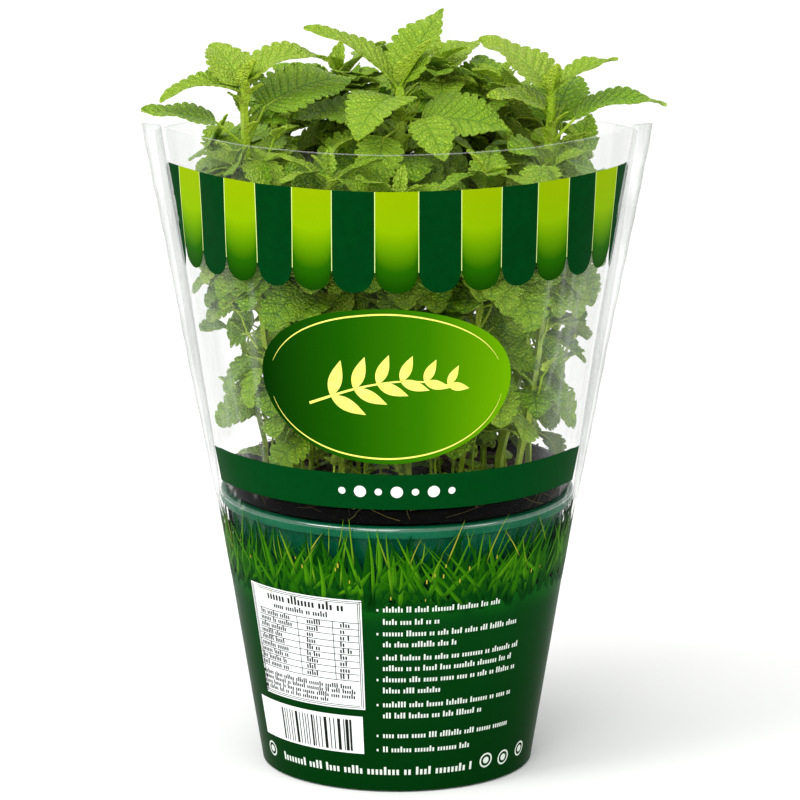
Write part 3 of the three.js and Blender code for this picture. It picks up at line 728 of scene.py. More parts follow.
PAIRS = (  # below the tip, petiole, length, width, pitch, bend, fold, point
    (1.5, 1.5, 12, 6.5, 66, 30, 32, 1), (7, 4, 24, 15, 42, 45, 14, 0.9),
    (20, 10, 29, 21, 22, 48, 10, 0.85), (42, 9, 22, 18, 8, 62, 8, 0.75),
    (63, 8, 20, 17, -4, 60, 8, 0.65), (86, 8, 19, 17, -8, 58, 6, 0.65))
print("leaves placed by hand:", len(TIP_LEAVES), "pairs of each stem:", len(PAIRS))


# %% Leaves that the solids have
def listed_leaf(row, age, ripple, point, gaps, tries):
    """Grows a leaf of a table."""
    stem, below, azimuth, *form, length, width = row
    root = stem_axis(STEMS[stem], STEMS[stem].tip[2] - below)
    grow_leaf(wanted(stem, root, math.radians(azimuth), form, piece=stem, age=age, length=length,
                     width=width, ripple=length * ripple, point=point), gaps, tries)


for row in TIP_LEAVES:
    listed_leaf(row, 0.8 if row[1] > 15 else 0.25, chance(0.02, 0.05), 0.9, SOLID_GAPS, BENT_ASIDE)
for rank, (below, petiole, length, width, pitch, bend, fold, point) in enumerate(PAIRS):
    for i, stem in enumerate(STEMS):
        height = stem.tip[2] - below * chance(0.93, 1.07)
        for side in (0, 180):
            wish = wanted(
                i, stem_axis(stem, height), math.radians(stem.turn + 90 * rank + side + chance(-12, 12)),
                (max(20, pitch + 20), petiole * stem.size, pitch + chance(-8, 8), bend + chance(-12, 12),
                 fold, chance(-12, 12)),
                piece=i, length=length * stem.size * chance(0.92, 1.08), width=width * stem.size,
                ripple=length * chance(0.02, 0.05), point=point, age=min(1.0, 0.15 + rank / 3))
            outward = math.cos(wish.azimuth) * stem.foot[0] + math.sin(wish.azimuth) * stem.foot[1]
            shaded = rank >= 3 and (outward < 9 or (math.hypot(*stem.foot) < 24 and rank > 3))
            if not (i < 3 and rank < 3) and not shaded and height > LOWEST_NODE:
                grow_leaf(wish, SOLID_GAPS, BENT_ASIDE)
print("leaves that the solids have:", len(leaves))

# %% [markdown]
# ## Side shoots and young shoots
# Lemon balm branches in the axil of nearly every leaf, which is what makes the clump so dense.
# These short shoots are too fine for the solids. Each is a thin curved stalk with two or three
# pairs of small leaves. They take the same test for room, with smaller distances.

# %% Shoots
FINE_GAPS = SimpleNamespace(film=1.6, leaf=2.0, own=1.3, stem=1.8)
FINE_ASIDE = ((0, 0, 1), (0, 16, 1), (0, -16, 1), (22, 6, 0.95), (-22, 6, 0.95), (0, 30, 0.8), (0, 0, 0.7))
luck = np.random.default_rng(3186)
twigs = []


def shoot_path(root, azimuth, length, lift, t):
    """A stalk that starts out sideways and turns up."""
    level = length * (math.cos(lift) * t - 0.25 * t * t)
    return np.stack([
        root[0] + math.cos(azimuth) * level, root[1] + math.sin(azimuth) * level,
        root[2] + length * (math.sin(lift) * t + 0.25 * t * t)], -1)


def grow_shoot(piece, root, azimuth, length, lift, leaf_length, pairs):
    path = shoot_path(root, azimuth, length, lift, np.linspace(0, 1, 7))
    if not inside_film(path[2:], 2.0) or any(stem_near(stem, path[3:], 2.2) for stem in STEMS) \
            or any(near(path[2:], other.whole, 1.3) for other in leaves_round(path[4], length)):
        return
    family = 100 + len(twigs)
    grown = 0
    for rank in range(pairs):
        size = leaf_length * (0.62, 1.0, 1.05)[rank]
        for side in (-1, 1):
            grown += grow_leaf(wanted(
                family, shoot_path(root, azimuth, length, lift, 1.0 - 0.42 * rank),
                azimuth + side * (0.5 + 0.5 * (rank % 2)) * 1.35 + luck.uniform(-0.25, 0.25),
                (luck.uniform(25, 55), size * luck.uniform(0.2, 0.35),
                 (62, 34, 14)[rank] + luck.uniform(-12, 12), luck.uniform(25, 60), (22, 12, 9)[rank],
                 luck.uniform(-16, 16)),
                piece=piece, length=size, width=size * luck.uniform(0.6, 0.78),
                ripple=size * luck.uniform(0.02, 0.05), point=0.85, age=luck.uniform(0.2, 0.55)),
                FINE_GAPS, FINE_ASIDE)
    if grown:
        twigs.append(SimpleNamespace(piece=piece, path=path))


print("a shoot of 20 mm climbs", round(float(shoot_path((0, 0, 0), 0.0, 20.0, 0.6, 1.0)[2]), 1), "mm")

# %% Leaves over the film's edge
OVERHANG = (  # as in TIP_LEAVES
    (0, 11, -60, 8, 15, -28, 25, 8, 10, 18, 14), (0, 14, -112, 4, 14, -34, 25, 8, -12, 19, 15),
    (0, 17, -20, 10, 12, -10, 30, 8, -14, 17, 13), (0, 18, 200, 10, 12, -10, 30, 8, 14, 17, 13),
    (3, 2, -150, 25, 5, 8, 35, 10, 10, 14, 10), (3, 3, -40, 25, 5, 4, 35, 10, -10, 15, 11),
    (3, 7, -95, 5, 6, -35, 20, 8, 0, 16, 13), (4, 3, 200, 20, 6, 0, 35, 8, 12, 17, 13),
    (4, 4, -25, 20, 6, -5, 30, 8, -10, 17, 13), (4, 7, -80, 5, 6, -40, 20, 8, 5, 17, 14),
    (5, 2, -140, 25, 5, 5, 35, 10, 10, 15, 11), (5, 3, -30, 25, 5, 5, 35, 10, -10, 16, 12),
    (5, 7, -85, 5, 6, -38, 20, 8, 0, 17, 14), (1, 24, -70, 5, 12, -30, 25, 8, 0, 17, 13),
    (2, 24, -100, 5, 12, -30, 25, 8, 0, 17, 13), (1, 30, -20, 5, 10, -20, 25, 8, -8, 17, 13),
    (2, 30, -160, 5, 10, -20, 25, 8, 8, 17, 13), (10, 9, -90, 20, 8, 6, 40, 8, 0, 18, 14),
    (11, 9, -60, 20, 8, 6, 40, 8, 0, 18, 14), (12, 8, -110, 20, 8, 4, 40, 8, 0, 18, 14),
    (13, 5, -60, 20, 7, 10, 40, 8, 0, 18, 14), (14, 5, -90, 20, 7, 10, 40, 8, 0, 18, 14),
    (15, 5, -120, 20, 7, 10, 40, 8, 0, 18, 14))
for row in OVERHANG:
    listed_leaf(row, luck.uniform(0.3, 0.8), 0.035, 0.78, FINE_GAPS, FINE_ASIDE)
print("with leaves over the film's edge:", len(leaves))


# %% Single leaves
def single_leaf(piece, stem, height, azimuth, size, gaps, lean):
    """A leaf from a node of the stem. Low leaves turn their faces out of the clump, to the light."""
    low = max(lean, 1 - min(1.0, max(0.0, (height - 140) / 60)))
    root = stem_axis(stem, height)
    from_outward = math.atan2(root[1], root[0]) - azimuth
    pitch = luck.uniform(-8, 24) - 32 * low * (0.3 + math.cos(from_outward))
    roll = luck.uniform(-18, 18) - (12 + 44 * low) * math.sin(from_outward)
    grow_leaf(wanted(
        piece, root, azimuth, (max(18, pitch + 30), size * luck.uniform(0.35, 0.75), pitch,
                               luck.uniform(20, 55), luck.uniform(6, 14), roll),
        piece=piece, length=size, width=size * (luck.uniform(0.7, 0.82) + 0.16 * low),
        ripple=size * luck.uniform(0.02, 0.05), point=0.78 - 0.18 * low, age=luck.uniform(0.45, 1.0)),
        gaps, FINE_ASIDE)


def from_tip(i, tall, front, rear):
    """How far below its tip a stem's fine leaves start: the tall stems, those in front, the rest."""
    return tall if i < 3 else front if STEMS[i].foot[1] < 5 else rear


places = [(i, height, turn) for i, stem in enumerate(STEMS)
          for height in np.arange(stem.tip[2] - from_tip(i, 38, 20, 9), LOWEST_NODE, -8.0)
          for turn in (0, 90, 180, 270)]
for k in luck.permutation(len(places)):
    i, height, turn = places[k]
    if luck.random() < 0.45 * (height < 180):
        continue
    azimuth = math.radians(STEMS[i].turn + turn + luck.uniform(-35, 35))
    single_leaf(i, STEMS[i], height + luck.uniform(-4, 4), azimuth, luck.uniform(12, 19), FINE_GAPS, 0.4)
print("with single leaves:", len(leaves))

# %% Rows of shoots
YOUNG_SHOOTS = 60
for i, stem in enumerate(STEMS):
    height = stem.tip[2] - luck.uniform(26, 34)
    turn = stem.turn
    while height > LOWEST_NODE + 1:
        for side in (0, 180):
            azimuth = math.radians(turn + side + luck.uniform(-50, 50))
            grow_shoot(
                i, stem_axis(stem, height + 1.5), azimuth,
                luck.uniform(9, 24), math.radians(luck.uniform(20, 50)), luck.uniform(8, 13),
                3 if luck.random() < 0.35 else 2)
        turn += 90
        height -= luck.uniform(9, 14)
for k in range(YOUNG_SHOOTS):
    azimuth = luck.uniform(0, 2 * math.pi)
    out = luck.uniform(10, 48)
    root = np.array([out * math.cos(azimuth), out * math.sin(azimuth), SOIL_TOP])
    grow_shoot(len(STEMS), root, luck.uniform(0, 2 * math.pi), luck.uniform(12, 28), math.radians(72),
               luck.uniform(6, 11), 3)
print("with side and young shoots:", len(leaves), len(twigs))

# %% Leaves inside the clump and round the tips
CLOSE_GAPS = SimpleNamespace(film=1.6, leaf=0.8, own=0.4, stem=1.0)
INNER_LEAVES = 640
BUDS = 9  # tiny leaves round a tip
for k in range(INNER_LEAVES):
    i = int(luck.integers(0, 16))
    top = STEMS[i].tip[2] - from_tip(i, 26, 16, 7)
    height = top - luck.random() * (top - 165) * (1.0 if k % 2 else 0.5)
    single_leaf(i, STEMS[i], height, luck.uniform(0, 2 * math.pi), luck.uniform(12, 18), CLOSE_GAPS, 0.75)
for i, stem in enumerate(STEMS):
    for k in range(BUDS):
        size = luck.uniform(5, 9)
        grow_leaf(wanted(
            i, stem_axis(stem, stem.tip[2] - luck.uniform(2, 20)), 2.4 * k + luck.uniform(0, 1),
            (65, luck.uniform(1.5, 4.0), luck.uniform(45, 68), luck.uniform(20, 50), 18,
             luck.uniform(-20, 20)),
            piece=i, length=size, width=size * 0.5, ripple=size * 0.03, point=0.9,
            age=luck.uniform(0.05, 0.3)), CLOSE_GAPS, FINE_ASIDE)
print("leaves:", len(leaves))

# %% [markdown]
# ## The mesh of a leaf
# A leaf of lemon balm is not flat: it is puckered between sunken veins, and its margin has rounded
# teeth. The rows of the mesh run slantwise from the middle to the margin, as the side veins do, so
# that each row of teeth ends a vein and the puckers follow. The blade is a closed shell.

# %% Teeth, columns and hairs
FINE_TOOTH = np.array([(0.0, -1.0), (0.28, 0.6), (0.6, 1.0), (0.86, 0.4)])  # place in the tooth, height
PLAIN_TOOTH = np.array([(0.0, -1.1), (0.25, 0.8), (0.72, 1.0)])
COLUMNS = (  # for leaves longer than so many mm, from the middle to the margin
    (21, (0, 0.07, 0.28, 0.52, 0.78, 1.0)), (17, (0, 0.09, 0.4, 0.75, 1.0)), (13, (0, 0.14, 0.58, 1.0)),
    (0, (0, 0.45, 1.0)))
BLADE_HALF = 0.14
PUCKER, GROOVE = 0.013, 0.012  # relief between the veins and over the midrib, shares of the length
STALK = 2.0  # the mark of stalks, ribs and hairs; blades have 0 on top and 1 below


def border(rows, columns):
    """The grid's points round its edge, in order."""
    return np.concatenate([
        np.arange(columns), np.arange(1, rows) * columns + columns - 1,
        (rows - 1) * columns + np.arange(columns - 2, -1, -1), np.arange(rows - 2, 0, -1) * columns])


def hairs(heap, feet, ways, length, **marks):
    """Fine straight hairs, each a thin three-sided spike."""
    ways = ways / np.linalg.norm(ways, axis=1)[:, None]
    side = np.cross(ways, luck.normal(size=feet.shape))
    side /= np.linalg.norm(side, axis=1)[:, None]
    over = np.cross(ways, side)
    tips = feet + ways * length * luck.uniform(0.6, 1.1, (len(feet), 1))
    corners = [feet + 0.045 * (math.cos(a) * side + math.sin(a) * over) for a in (0, 2.094, 4.189)]
    start = 4 * np.arange(len(feet))[:, None]
    faces = np.concatenate([start + [0, 1, 3], start + [1, 2, 3], start + [2, 0, 3]])
    heap.add(np.stack([*corners, tips], 1), [faces], **marks)


print("points round a grid of 3 rows and 4 columns:", len(border(3, 4)))


# %% Leaf mesh
def add_leaf(heap, leaf):
    teeth = int(np.clip(round(leaf.length / 2.9), 4, 12))
    columns = next(np.array(columns) for least, columns in COLUMNS if leaf.length > least)
    tooth = FINE_TOOTH if leaf.length > 21 else PLAIN_TOOTH
    margin = ((np.arange(teeth)[:, None] + tooth[:, 0]) / teeth).ravel()
    margin = np.array([0.006, *margin[1:], 0.995])[:, None]
    shape = np.array([0.0, *np.tile(tooth[:, 1], teeth)[1:], 0.0])[:, None]
    across = np.concatenate([-columns[:0:-1], columns])[None]
    along = margin - 0.8 * (1 - np.abs(across)) * margin * (1 - margin)
    depth = 0.14 if leaf.point < 0.7 else 0.11
    half = blade_half_width(leaf, margin) * (1 + depth * shape * np.abs(across) ** 4)
    vein = np.cos(2 * np.pi * (teeth * margin - 0.62))
    relief = -PUCKER * leaf.length * vein
    relief = relief * np.sin(np.pi * np.abs(across)) ** 0.7 * np.sin(np.pi * margin) ** 0.4
    relief = relief - GROOVE * leaf.length * (np.abs(across) < 0.05) * (1 - margin)
    rows, count = relief.shape
    top, under = (leaf_point(leaf, along, half, across, relief + lift)
                  for lift in (BLADE_HALF, -BLADE_HALF))
    edge = border(rows, count)
    after = np.roll(edge, -1)
    wall = np.stack([edge, after, after + rows * count, edge + rows * count], -1)
    blade = np.stack(np.broadcast_arrays(across, teeth * margin, along), -1).reshape(-1, 3)
    tone = (leaf.age, leaf.luck)
    heap.add(
        np.concatenate([top, under]),
        [grid_faces(rows, count, flip=True), grid_faces(rows, count) + rows * count, wall],
        blade=np.tile(blade, (2, 1)), leaf=np.repeat([[*tone, 0.0], [*tone, 1.0]], rows * count, 0))
    small = leaf.length < 14
    rib = np.array([-1, -0.5, 0, 0.4, 0.85]) if small else np.concatenate(
        [np.linspace(-1, 0, 4), np.linspace(0.12, 0.9, 5)])
    sides = 4 if small else 6
    stalk = 0.3 + 0.009 * leaf.length
    radii = np.interp(rib, [-1, 0, 0.9], [stalk, stalk * 0.8, 0.1])
    path = leaf_point(leaf, rib, 0.0, 0.0, np.where(rib > 0, -BLADE_HALF - 0.4 * radii, -0.3 * radii))
    sideways = (-math.sin(leaf.azimuth), math.cos(leaf.azimuth), 0)
    heap.add(*tube(path, radii, sides, sideways), leaf=(*tone, STALK),
             blade=np.repeat(np.stack([0 * rib, 0 * rib, rib], -1), sides, 0))
    if leaf.length > 9:
        some = np.flatnonzero(shape[:, 0] > 0)[::2]
        for column, way in ((0, -1), (count - 1, 1)):
            hairs(heap, top[some, column], top[some, column] - top[some, column - way], 0.7,
                  blade=(way, 0, 0.5), leaf=(*tone, STALK))


print("columns across the largest leaves:", 2 * len(COLUMNS[0][1]) - 1)


# %% [markdown]
# ## The mesh of a stem
# The stem's section is a rounded square, a little thicker at each node where a pair of leaves
# stands. Short hairs cover it; they are meshes too, so that they stay with the piece everywhere.

# %% Stem mesh
STEM_FOOT = 80.6
STEM_HAIRS = 130


def add_stem(heap, stem, nodes):
    z = np.arange(STEM_FOOT, stem.tip[2], 2.5)
    axis = stem_axis(stem, z)
    width = np.interp(z, [STEM_FOOT, 150, stem.tip[2]], [2.4, 2.2, 1.5]) * (0.75 + 0.25 * (stem.size == 1))
    for node in nodes:
        width = width * (1 + 0.22 * np.exp(-((z - node) / 1.8) ** 2))
    turn = turns(16)
    square = (np.abs(np.cos(turn)) ** 5 + np.abs(np.sin(turn)) ** 5) ** -0.2
    square *= 1 - 0.1 * np.cos(4 * turn)
    ring = round_axis(1, turn + math.radians(stem.turn), 0 * turn) * square[:, None]
    rings = axis[:, None] + 0.5 * width[:, None, None] * ring
    heap.add(*stacked(rings), blade=(0, 0, 0), leaf=(0.5, stem.luck, STALK))
    spots = luck.integers(8, len(z), STEM_HAIRS)
    feet = rings[spots, luck.integers(0, 16, STEM_HAIRS)]
    hairs(heap, feet, feet - axis[spots] + [0, 0, -0.5], 0.9, blade=(0, 0, 0), leaf=(0.3, 0.5, STALK))


print("hairs on each stem:", STEM_HAIRS)


# %% [markdown]
# ## The colour of the leaves
# Young leaves are yellow-green, old ones deeper. On top, the veins and the net between the cells are
# darker, partly the veins' own green and partly painted shade in the grooves, and the raised cells
# carry a painted light; the underside is paler and dull. The mesh carries what the finish has to
# know: how far across and along each point lies, the leaf's age, and which face it is.

# %% Leaf finish
green = Finish("lemon_balm_leaf")
across, vein_count, along = green.marks("blade")
age, luck_of_leaf, kind = green.marks("leaf")
from_vein = abs((vein_count + 0.9).maths("FRACT") - 0.5)
vein = 1 - from_vein.rise(0.03, 0.15)
midrib = 1 - abs(across).rise(0.015, 0.07)
ribs = (vein * (1 - abs(across) * 0.5)).maths("MAXIMUM", midrib)
wander = green.node("ShaderNodeTexNoise", None, {"Vector": green.place(), "Scale": 500.0}, 1)
crooked = green.node("ShaderNodeVectorMath", {"operation": "MULTIPLY_ADD"},
                     {0: wander, 1: (0.0008, 0.0008, 0.0008), 2: green.place()})
net = green.node(
    "ShaderNodeTexVoronoi", {"feature": "DISTANCE_TO_EDGE"}, {"Vector": crooked, "Scale": 720.0})
patches = green.noise(70.0, 3.0)
cells = net.rise(0.0, 0.09)
# Colour of the relief: the veins and the net between the cells are darker, partly the veins' own green and
# partly painted shade in the grooves, and the raised cells carry a painted light.
vein_tone_and_painted_relief = (0.25 + cells * 0.75) * (1 - ribs * 0.8)
pillow = (0.15 + net.rise(0.0, 0.34) * 0.85) * (1 - ribs * 0.7)
# In each pair the first colour is vein green with painted groove shade, the second the painted light of the
# cells.
young = green.mix(vein_tone_and_painted_relief, "6e980a", "a0ba38")
old = green.mix(vein_tone_and_painted_relief, "306206", "80aa14")
top_tone = green.mix((age * 0.8 + luck_of_leaf * 0.4 + patches * 0.5 - 0.35).rise(0.0, 1.0), young, old)
under_tone = green.mix(age, "b4cc34", green.mix(cells * (1 - ribs), "a3b85c", "8fae44"))
blade_tone = green.mix(kind.rise(0.4, 0.6), top_tone, under_tone)
stalk_tone = green.mix(patches.rise(0.3, 0.7), "8cae14", "b2cc3c")
leaf_finish = green.done(green.surface(
    green.mix(kind.rise(1.4, 1.6), blade_tone, stalk_tone), 0.36 + patches * 0.2 - vein_tone_and_painted_relief * 0.05, 0.3,
    Subsurface_Weight=0.4, Subsurface_Radius=(0.7, 1.0, 0.15), Subsurface_Scale=0.0006,
    Normal=green.bump(pillow * 0.85 + green.noise(2600.0) * 0.12, 0.001, 0.85)))
print("nodes in the leaf finish:", len(green.tree.nodes))

# %% Leafy stems
for leaf in leaves:
    leaf.luck = luck.random()
heaps = [Heap("blade", "leaf") for _ in range(len(STEMS) + 1)]
for i, stem in enumerate(STEMS):
    stem.luck = luck.random()
    nodes = [leaf.root[2] for leaf in leaves if leaf.stem == i]
    add_stem(heaps[i], stem, sorted(set(np.round(nodes, 1))))
for twig in twigs:
    heaps[twig.piece].add(*tube(twig.path, np.linspace(0.55, 0.35, 7), 6, (0.3, 0.5, 0.01)),
                          blade=(0, 0, 0), leaf=(0.4, 0.5, STALK))
for leaf in leaves:
    add_leaf(heaps[leaf.piece], leaf)
for i in range(len(STEMS)):
    heaps[i].piece(f"fine_stem_{i + 1:02d}", leaf_finish, "leaf", [f"leafy_stem_{i + 1:02d}"], sharp=55)
heaps[-1].piece("young_shoots", leaf_finish, "leaf", sharp=55)

# %% [markdown]
# ## Soil
# Potting soil is loose: crumbs of peat, bits of bark, a few pale grains of perlite. The top is a
# fine uneven surface with some hundred crumbs on it, and a few root fibres hang over the pot's
# lip, as they do when a plant has been handled.

# %% Top of the soil
SOIL_BOTTOM = 3.6
SOIL_SIDES = 120


def soil_height(x, y):
    crown = 1.6 * (1 - (x * x + y * y) / SOIL_RADIUS ** 2)
    return SOIL_TOP + crown + 0.7 * np.sin(0.31 * x + 1.1) * np.cos(0.27 * y - 0.4)


turn = turns(SOIL_SIDES)
rings = [round_axis(nursery_outside(SOIL_BOTTOM) - 1.3, turn, SOIL_BOTTOM),
         round_axis(SOIL_RADIUS, turn, SOIL_TOP - 1.2)]
for share in np.linspace(0.985, 0.06, 24):
    ring = round_axis(SOIL_RADIUS * share, turn, 0.0)
    x, y = ring[:, 0], ring[:, 1]
    rough = 0.5 * np.sin(1.9 * x + 0.7 * y) * np.sin(1.3 * y - 0.9 * x)
    rough = rough + luck.uniform(-0.25, 0.25, SOIL_SIDES)
    ring[:, 2] = soil_height(x, y) + rough * min(1.0, 6 * (1 - share))
    rings.append(ring)
earth = Heap("crumb")
earth.add(*stacked(np.array(rings), [[0, 0, SOIL_BOTTOM], [0, 0, SOIL_TOP + 1.5]]), crumb=(0, 0, 0))
print("the soil's middle stands at", round(float(soil_height(0, 0)), 1), "mm")

# %% Crumbs
CRUMBS = 620
corners = np.array([(1, 0, 0), (-1, 0, 0), (0, 1, 0), (0, -1, 0), (0, 0, 1), (0, 0, -1)], float)
mids = np.array([(x, y, z) for z in (1, -1) for y in (1, -1) for x in (1, -1)])
lump = np.concatenate([corners, mids * 0.62])
lump_faces = np.array([
    (0, 6, 4), (0, 4, 8), (0, 10, 6), (0, 8, 12), (0, 12, 10), (1, 4, 7), (1, 9, 4), (1, 7, 11), (1, 13, 9),
    (1, 11, 13), (2, 4, 6), (2, 7, 4), (2, 6, 10), (2, 11, 7), (2, 10, 5), (2, 5, 11), (3, 8, 4), (3, 4, 9),
    (3, 12, 8), (3, 9, 13), (3, 5, 12), (3, 13, 5), (5, 10, 12), (5, 13, 11)])
for k in range(CRUMBS):
    away = SOIL_RADIUS * 0.96 * math.sqrt(luck.random())
    way = luck.uniform(0, 2 * math.pi)
    x, y = away * math.cos(way), away * math.sin(way)
    size = luck.uniform(0.5, 1.7) * luck.uniform(0.6, 1, 3)
    crumb = lump * luck.uniform(0.75, 1.2, lump.shape) * size + [x, y, float(soil_height(x, y)) + 0.3]
    earth.add(crumb, [lump_faces], crumb=(luck.random(), float(luck.random() < 0.05), 1))
peat = Finish("potting_soil")
shade, pale = peat.marks("crumb")[:2]
mottle = peat.noise(420.0, 6.0)
peat_tone = peat.mix(mottle.rise(0.35, 0.7), "1c130c", "4a3524")
peat_tone = peat.mix(pale, peat.mix(shade * 0.5, peat_tone, "5a4330"), "b9b3a6")
soil_finish = peat.done(peat.surface(peat_tone, 0.9, 0.2, Normal=peat.bump(mottle, 0.0015, 0.8)))
earth.piece("soil_crumbs", soil_finish, "soil", ["soil"], sharp=35)

# %% Root fibres
FIBRES = 50
LIP_CRUMBS = 70
DRIFT = np.array([0, 0.02, 0.05, 0.05, 0.06, 0.08, 0.1, 0.13])
roots = Heap("root")
for k in range(FIBRES):
    way = luck.uniform(0, 2 * math.pi) + DRIFT * luck.normal(0, 1.6)
    hang = luck.uniform(95.2, 98.6)
    out = np.array([SOIL_RADIUS - 4, SOIL_RADIUS - 1.2, SOIL_RADIUS - 0.4, lip - 1.4, lip - 0.3, lip + 0.4,
                    lip + 0.5, lip + luck.uniform(0.4, 1.6)])
    up = np.array([SOIL_TOP + 0.8, 97.0, NURSERY_TOP + 0.3, NURSERY_TOP + 0.6, NURSERY_TOP + 0.4, 99.0,
                   (99.0 + hang) / 2, hang])
    path = round_axis(out, way, up + luck.normal(0, 0.15, 8))
    roots.add(*tube(path, luck.uniform(0.08, 0.18) * np.linspace(1, 0.5, 8), 5, (0.3, 0.2, 1.0)),
              root=(luck.random(), 0, 0))
for k in range(LIP_CRUMBS):
    way = luck.uniform(0, 2 * math.pi)
    out = lip + luck.uniform(-1.2, 0.3)
    middle = [out * math.cos(way), out * math.sin(way), NURSERY_TOP + 0.2 - 0.4 * max(0.0, out - lip + 0.2)]
    crumb = lump * luck.uniform(0.7, 1.2, lump.shape) * luck.uniform(0.2, 0.6) + middle
    roots.add(crumb, [lump_faces], root=(luck.random(), 0, 0))
dry = Finish("dry_root")
fibre = dry.noise(900.0, 4.0)
root_tone = dry.mix(dry.marks("root")[0], "3a2e16", "645c2a")
root_finish = dry.done(dry.surface(
    dry.mix(fibre * 0.4, root_tone, "2c2214"), 0.8, 0.15, Normal=dry.bump(fibre, 0.0005, 0.5)))
roots.piece("root_fibres", root_finish, "soil")

# %% [markdown]
# ## The film sleeve
# The sleeve is one sheet of clear film, thinner than a hair, so it is a single surface that runs
# once round, out along each side seam and back. Film is never quite smooth: above the pot it has
# slight folds, and the sealed seams are crinkled.


# %% Folds of the film
def film_fold(angle, z):
    """Millimetres by which slight folds move the film in or out."""
    a = np.radians(angle)
    up = above_rim(z)
    soft = 0.5 * np.sin(5 * a + 2.2 * up + 0.4) + 0.35 * np.sin(11 * a - 5 * up + 1.0) \
        + 0.2 * np.sin(23 * a + 9 * up)
    return soft * np.minimum(1, 2.2 * up) * (0.7 + 0.8 * behind_seam(angle, z))


def film_place(angle, z, lift=0.0):
    """A point of the film; z is its height at the front."""
    angle, z, lift = np.broadcast_arrays(np.asarray(angle, float), np.asarray(z, float), lift)
    radius = film_radius(angle, z) + 0.3 + film_fold(angle, z) + lift
    height = np.where(z > RIM, RIM + (film_top(angle) - RIM) * above_rim(z), z)
    return np.stack([radius * np.sin(np.radians(angle)), -radius * np.cos(np.radians(angle)), height], -1)


most = float(np.abs(film_fold(np.arange(-180, 181), TOP)).max())
print("folds at the top move the film by up to", round(most, 2), "mm")

# %% Film surface
FRONT_COLUMNS, BACK_COLUMNS = 145, 97
STRIP_COLUMNS = (0.02, 0.25, 0.5, 0.75, 1)
STRIP_WIDTH = 0.78  # share of the seam's inset
FOLDED_COLUMNS = (0, 144, 145, 149, 150, 155, 251, 252, 256, 257, 261)
heights = np.concatenate([
    np.linspace(0.4, RIM, 24), np.linspace(RIM, TOP - 0.5, 66)[1:], [TOP - 0.3, TOP]])[:, None]
seam = seam_angle(heights)
front_angles = np.linspace(-1, 1, FRONT_COLUMNS)[None] * (seam - 1.1)
back_angles = (seam + 1.1) + np.linspace(0, 1, BACK_COLUMNS)[None] * (360 - 2 * (seam + 1.1))


def strip(way):
    """The seam strip on one side: out on its front face and back on its rear face."""
    foot = film_place(way * seam, heights)
    up = above_rim(heights)
    parts = []
    for t, rear in [(t, 0) for t in STRIP_COLUMNS] + [(t, 1) for t in STRIP_COLUMNS[::-1]]:
        part = np.broadcast_to(foot, (len(heights), 1, 3)).copy()
        crinkle = 0.55 * np.sin(0.42 * heights + 2.1 * t + way) + 0.3 * np.sin(0.93 * heights - 3.0 * t)
        part[..., 0] += way * STRIP_WIDTH * t * seam_inset(heights) * (1 + 0.015 * np.sin(0.5 * heights))
        part[..., 1] += 3 * up * t + crinkle * up * t + 0.12 * (2 * rear - 1)
        parts.append(part)
    return np.concatenate(parts[::way], 1)


film_rows = np.concatenate([
    film_place(front_angles, heights), strip(1),
    film_place(back_angles - 360.0 * (back_angles > 180), heights), strip(-1)], 1)
in_strip = np.repeat([0.0, 1.0, 0.0, 1.0], [FRONT_COLUMNS, 10, BACK_COLUMNS, 10])
# Painted highlights: the folded columns of the seams and the film's top edge get lighter, less clear lines,
# where the film catches light.
highlight_marks = np.maximum(np.isin(np.arange(len(in_strip)), FOLDED_COLUMNS), 0.7 * (heights > TOP - 0.4))
print("rows and columns of the film:", film_rows.shape[:2])

# %% Crease highlights
CREASE_HIGHLIGHTS = 26


def crease_highlight(start, slope, low, high, share):
    """Paints a thin crease of the front panel as a lighter, less clear line, a painted highlight; it leans
    by slope degrees a millimetre.
    """
    line = np.exp(-((front_angles - (start + slope * (heights - low))) / 0.7) ** 2)
    line = share * line * (heights > low) * (heights < high)
    highlight_marks[:, :FRONT_COLUMNS] = np.maximum(highlight_marks[:, :FRONT_COLUMNS], line)


for k in range(CREASE_HIGHLIGHTS):
    start = luck.uniform(38, 72) * luck.choice([-1, 1])
    low = luck.uniform(93, 150)
    high = low + luck.uniform(10, 60)
    crease_highlight(start, luck.uniform(-0.12, 0.12), low, high, 0.35)
# Two painted glints low on the left and right of the front panel, over the pot's lip.
crease_highlight(-56.1, -0.9, 93, 104, 1)
crease_highlight(65.5, 0.5, 93, 101, 1)
film = Heap("film")
film.add(film_rows, [grid_faces(*film_rows.shape[:2], closed=True)],
         film=np.stack(np.broadcast_arrays(in_strip, heights / TOP, highlight_marks), -1).reshape(-1, 3))
print("points of the film:", film.count)

# %% Film finish
clear = Finish("clear_film")
strip_part, film_height, highlight_lines = clear.marks("film")
haze = clear.noise(55.0, 4.0, (1.0, 1.0, 0.25)).rise(0.35, 0.8)
creases = clear.noise(170.0, 3.0, (1.0, 1.0, 0.1)).rise(0.35, 0.7)
gloss = clear.node("ShaderNodeLayerWeight", None, {"Blend": 0.3}, 1)
open_part = film_height.rise(0.40, 0.42)
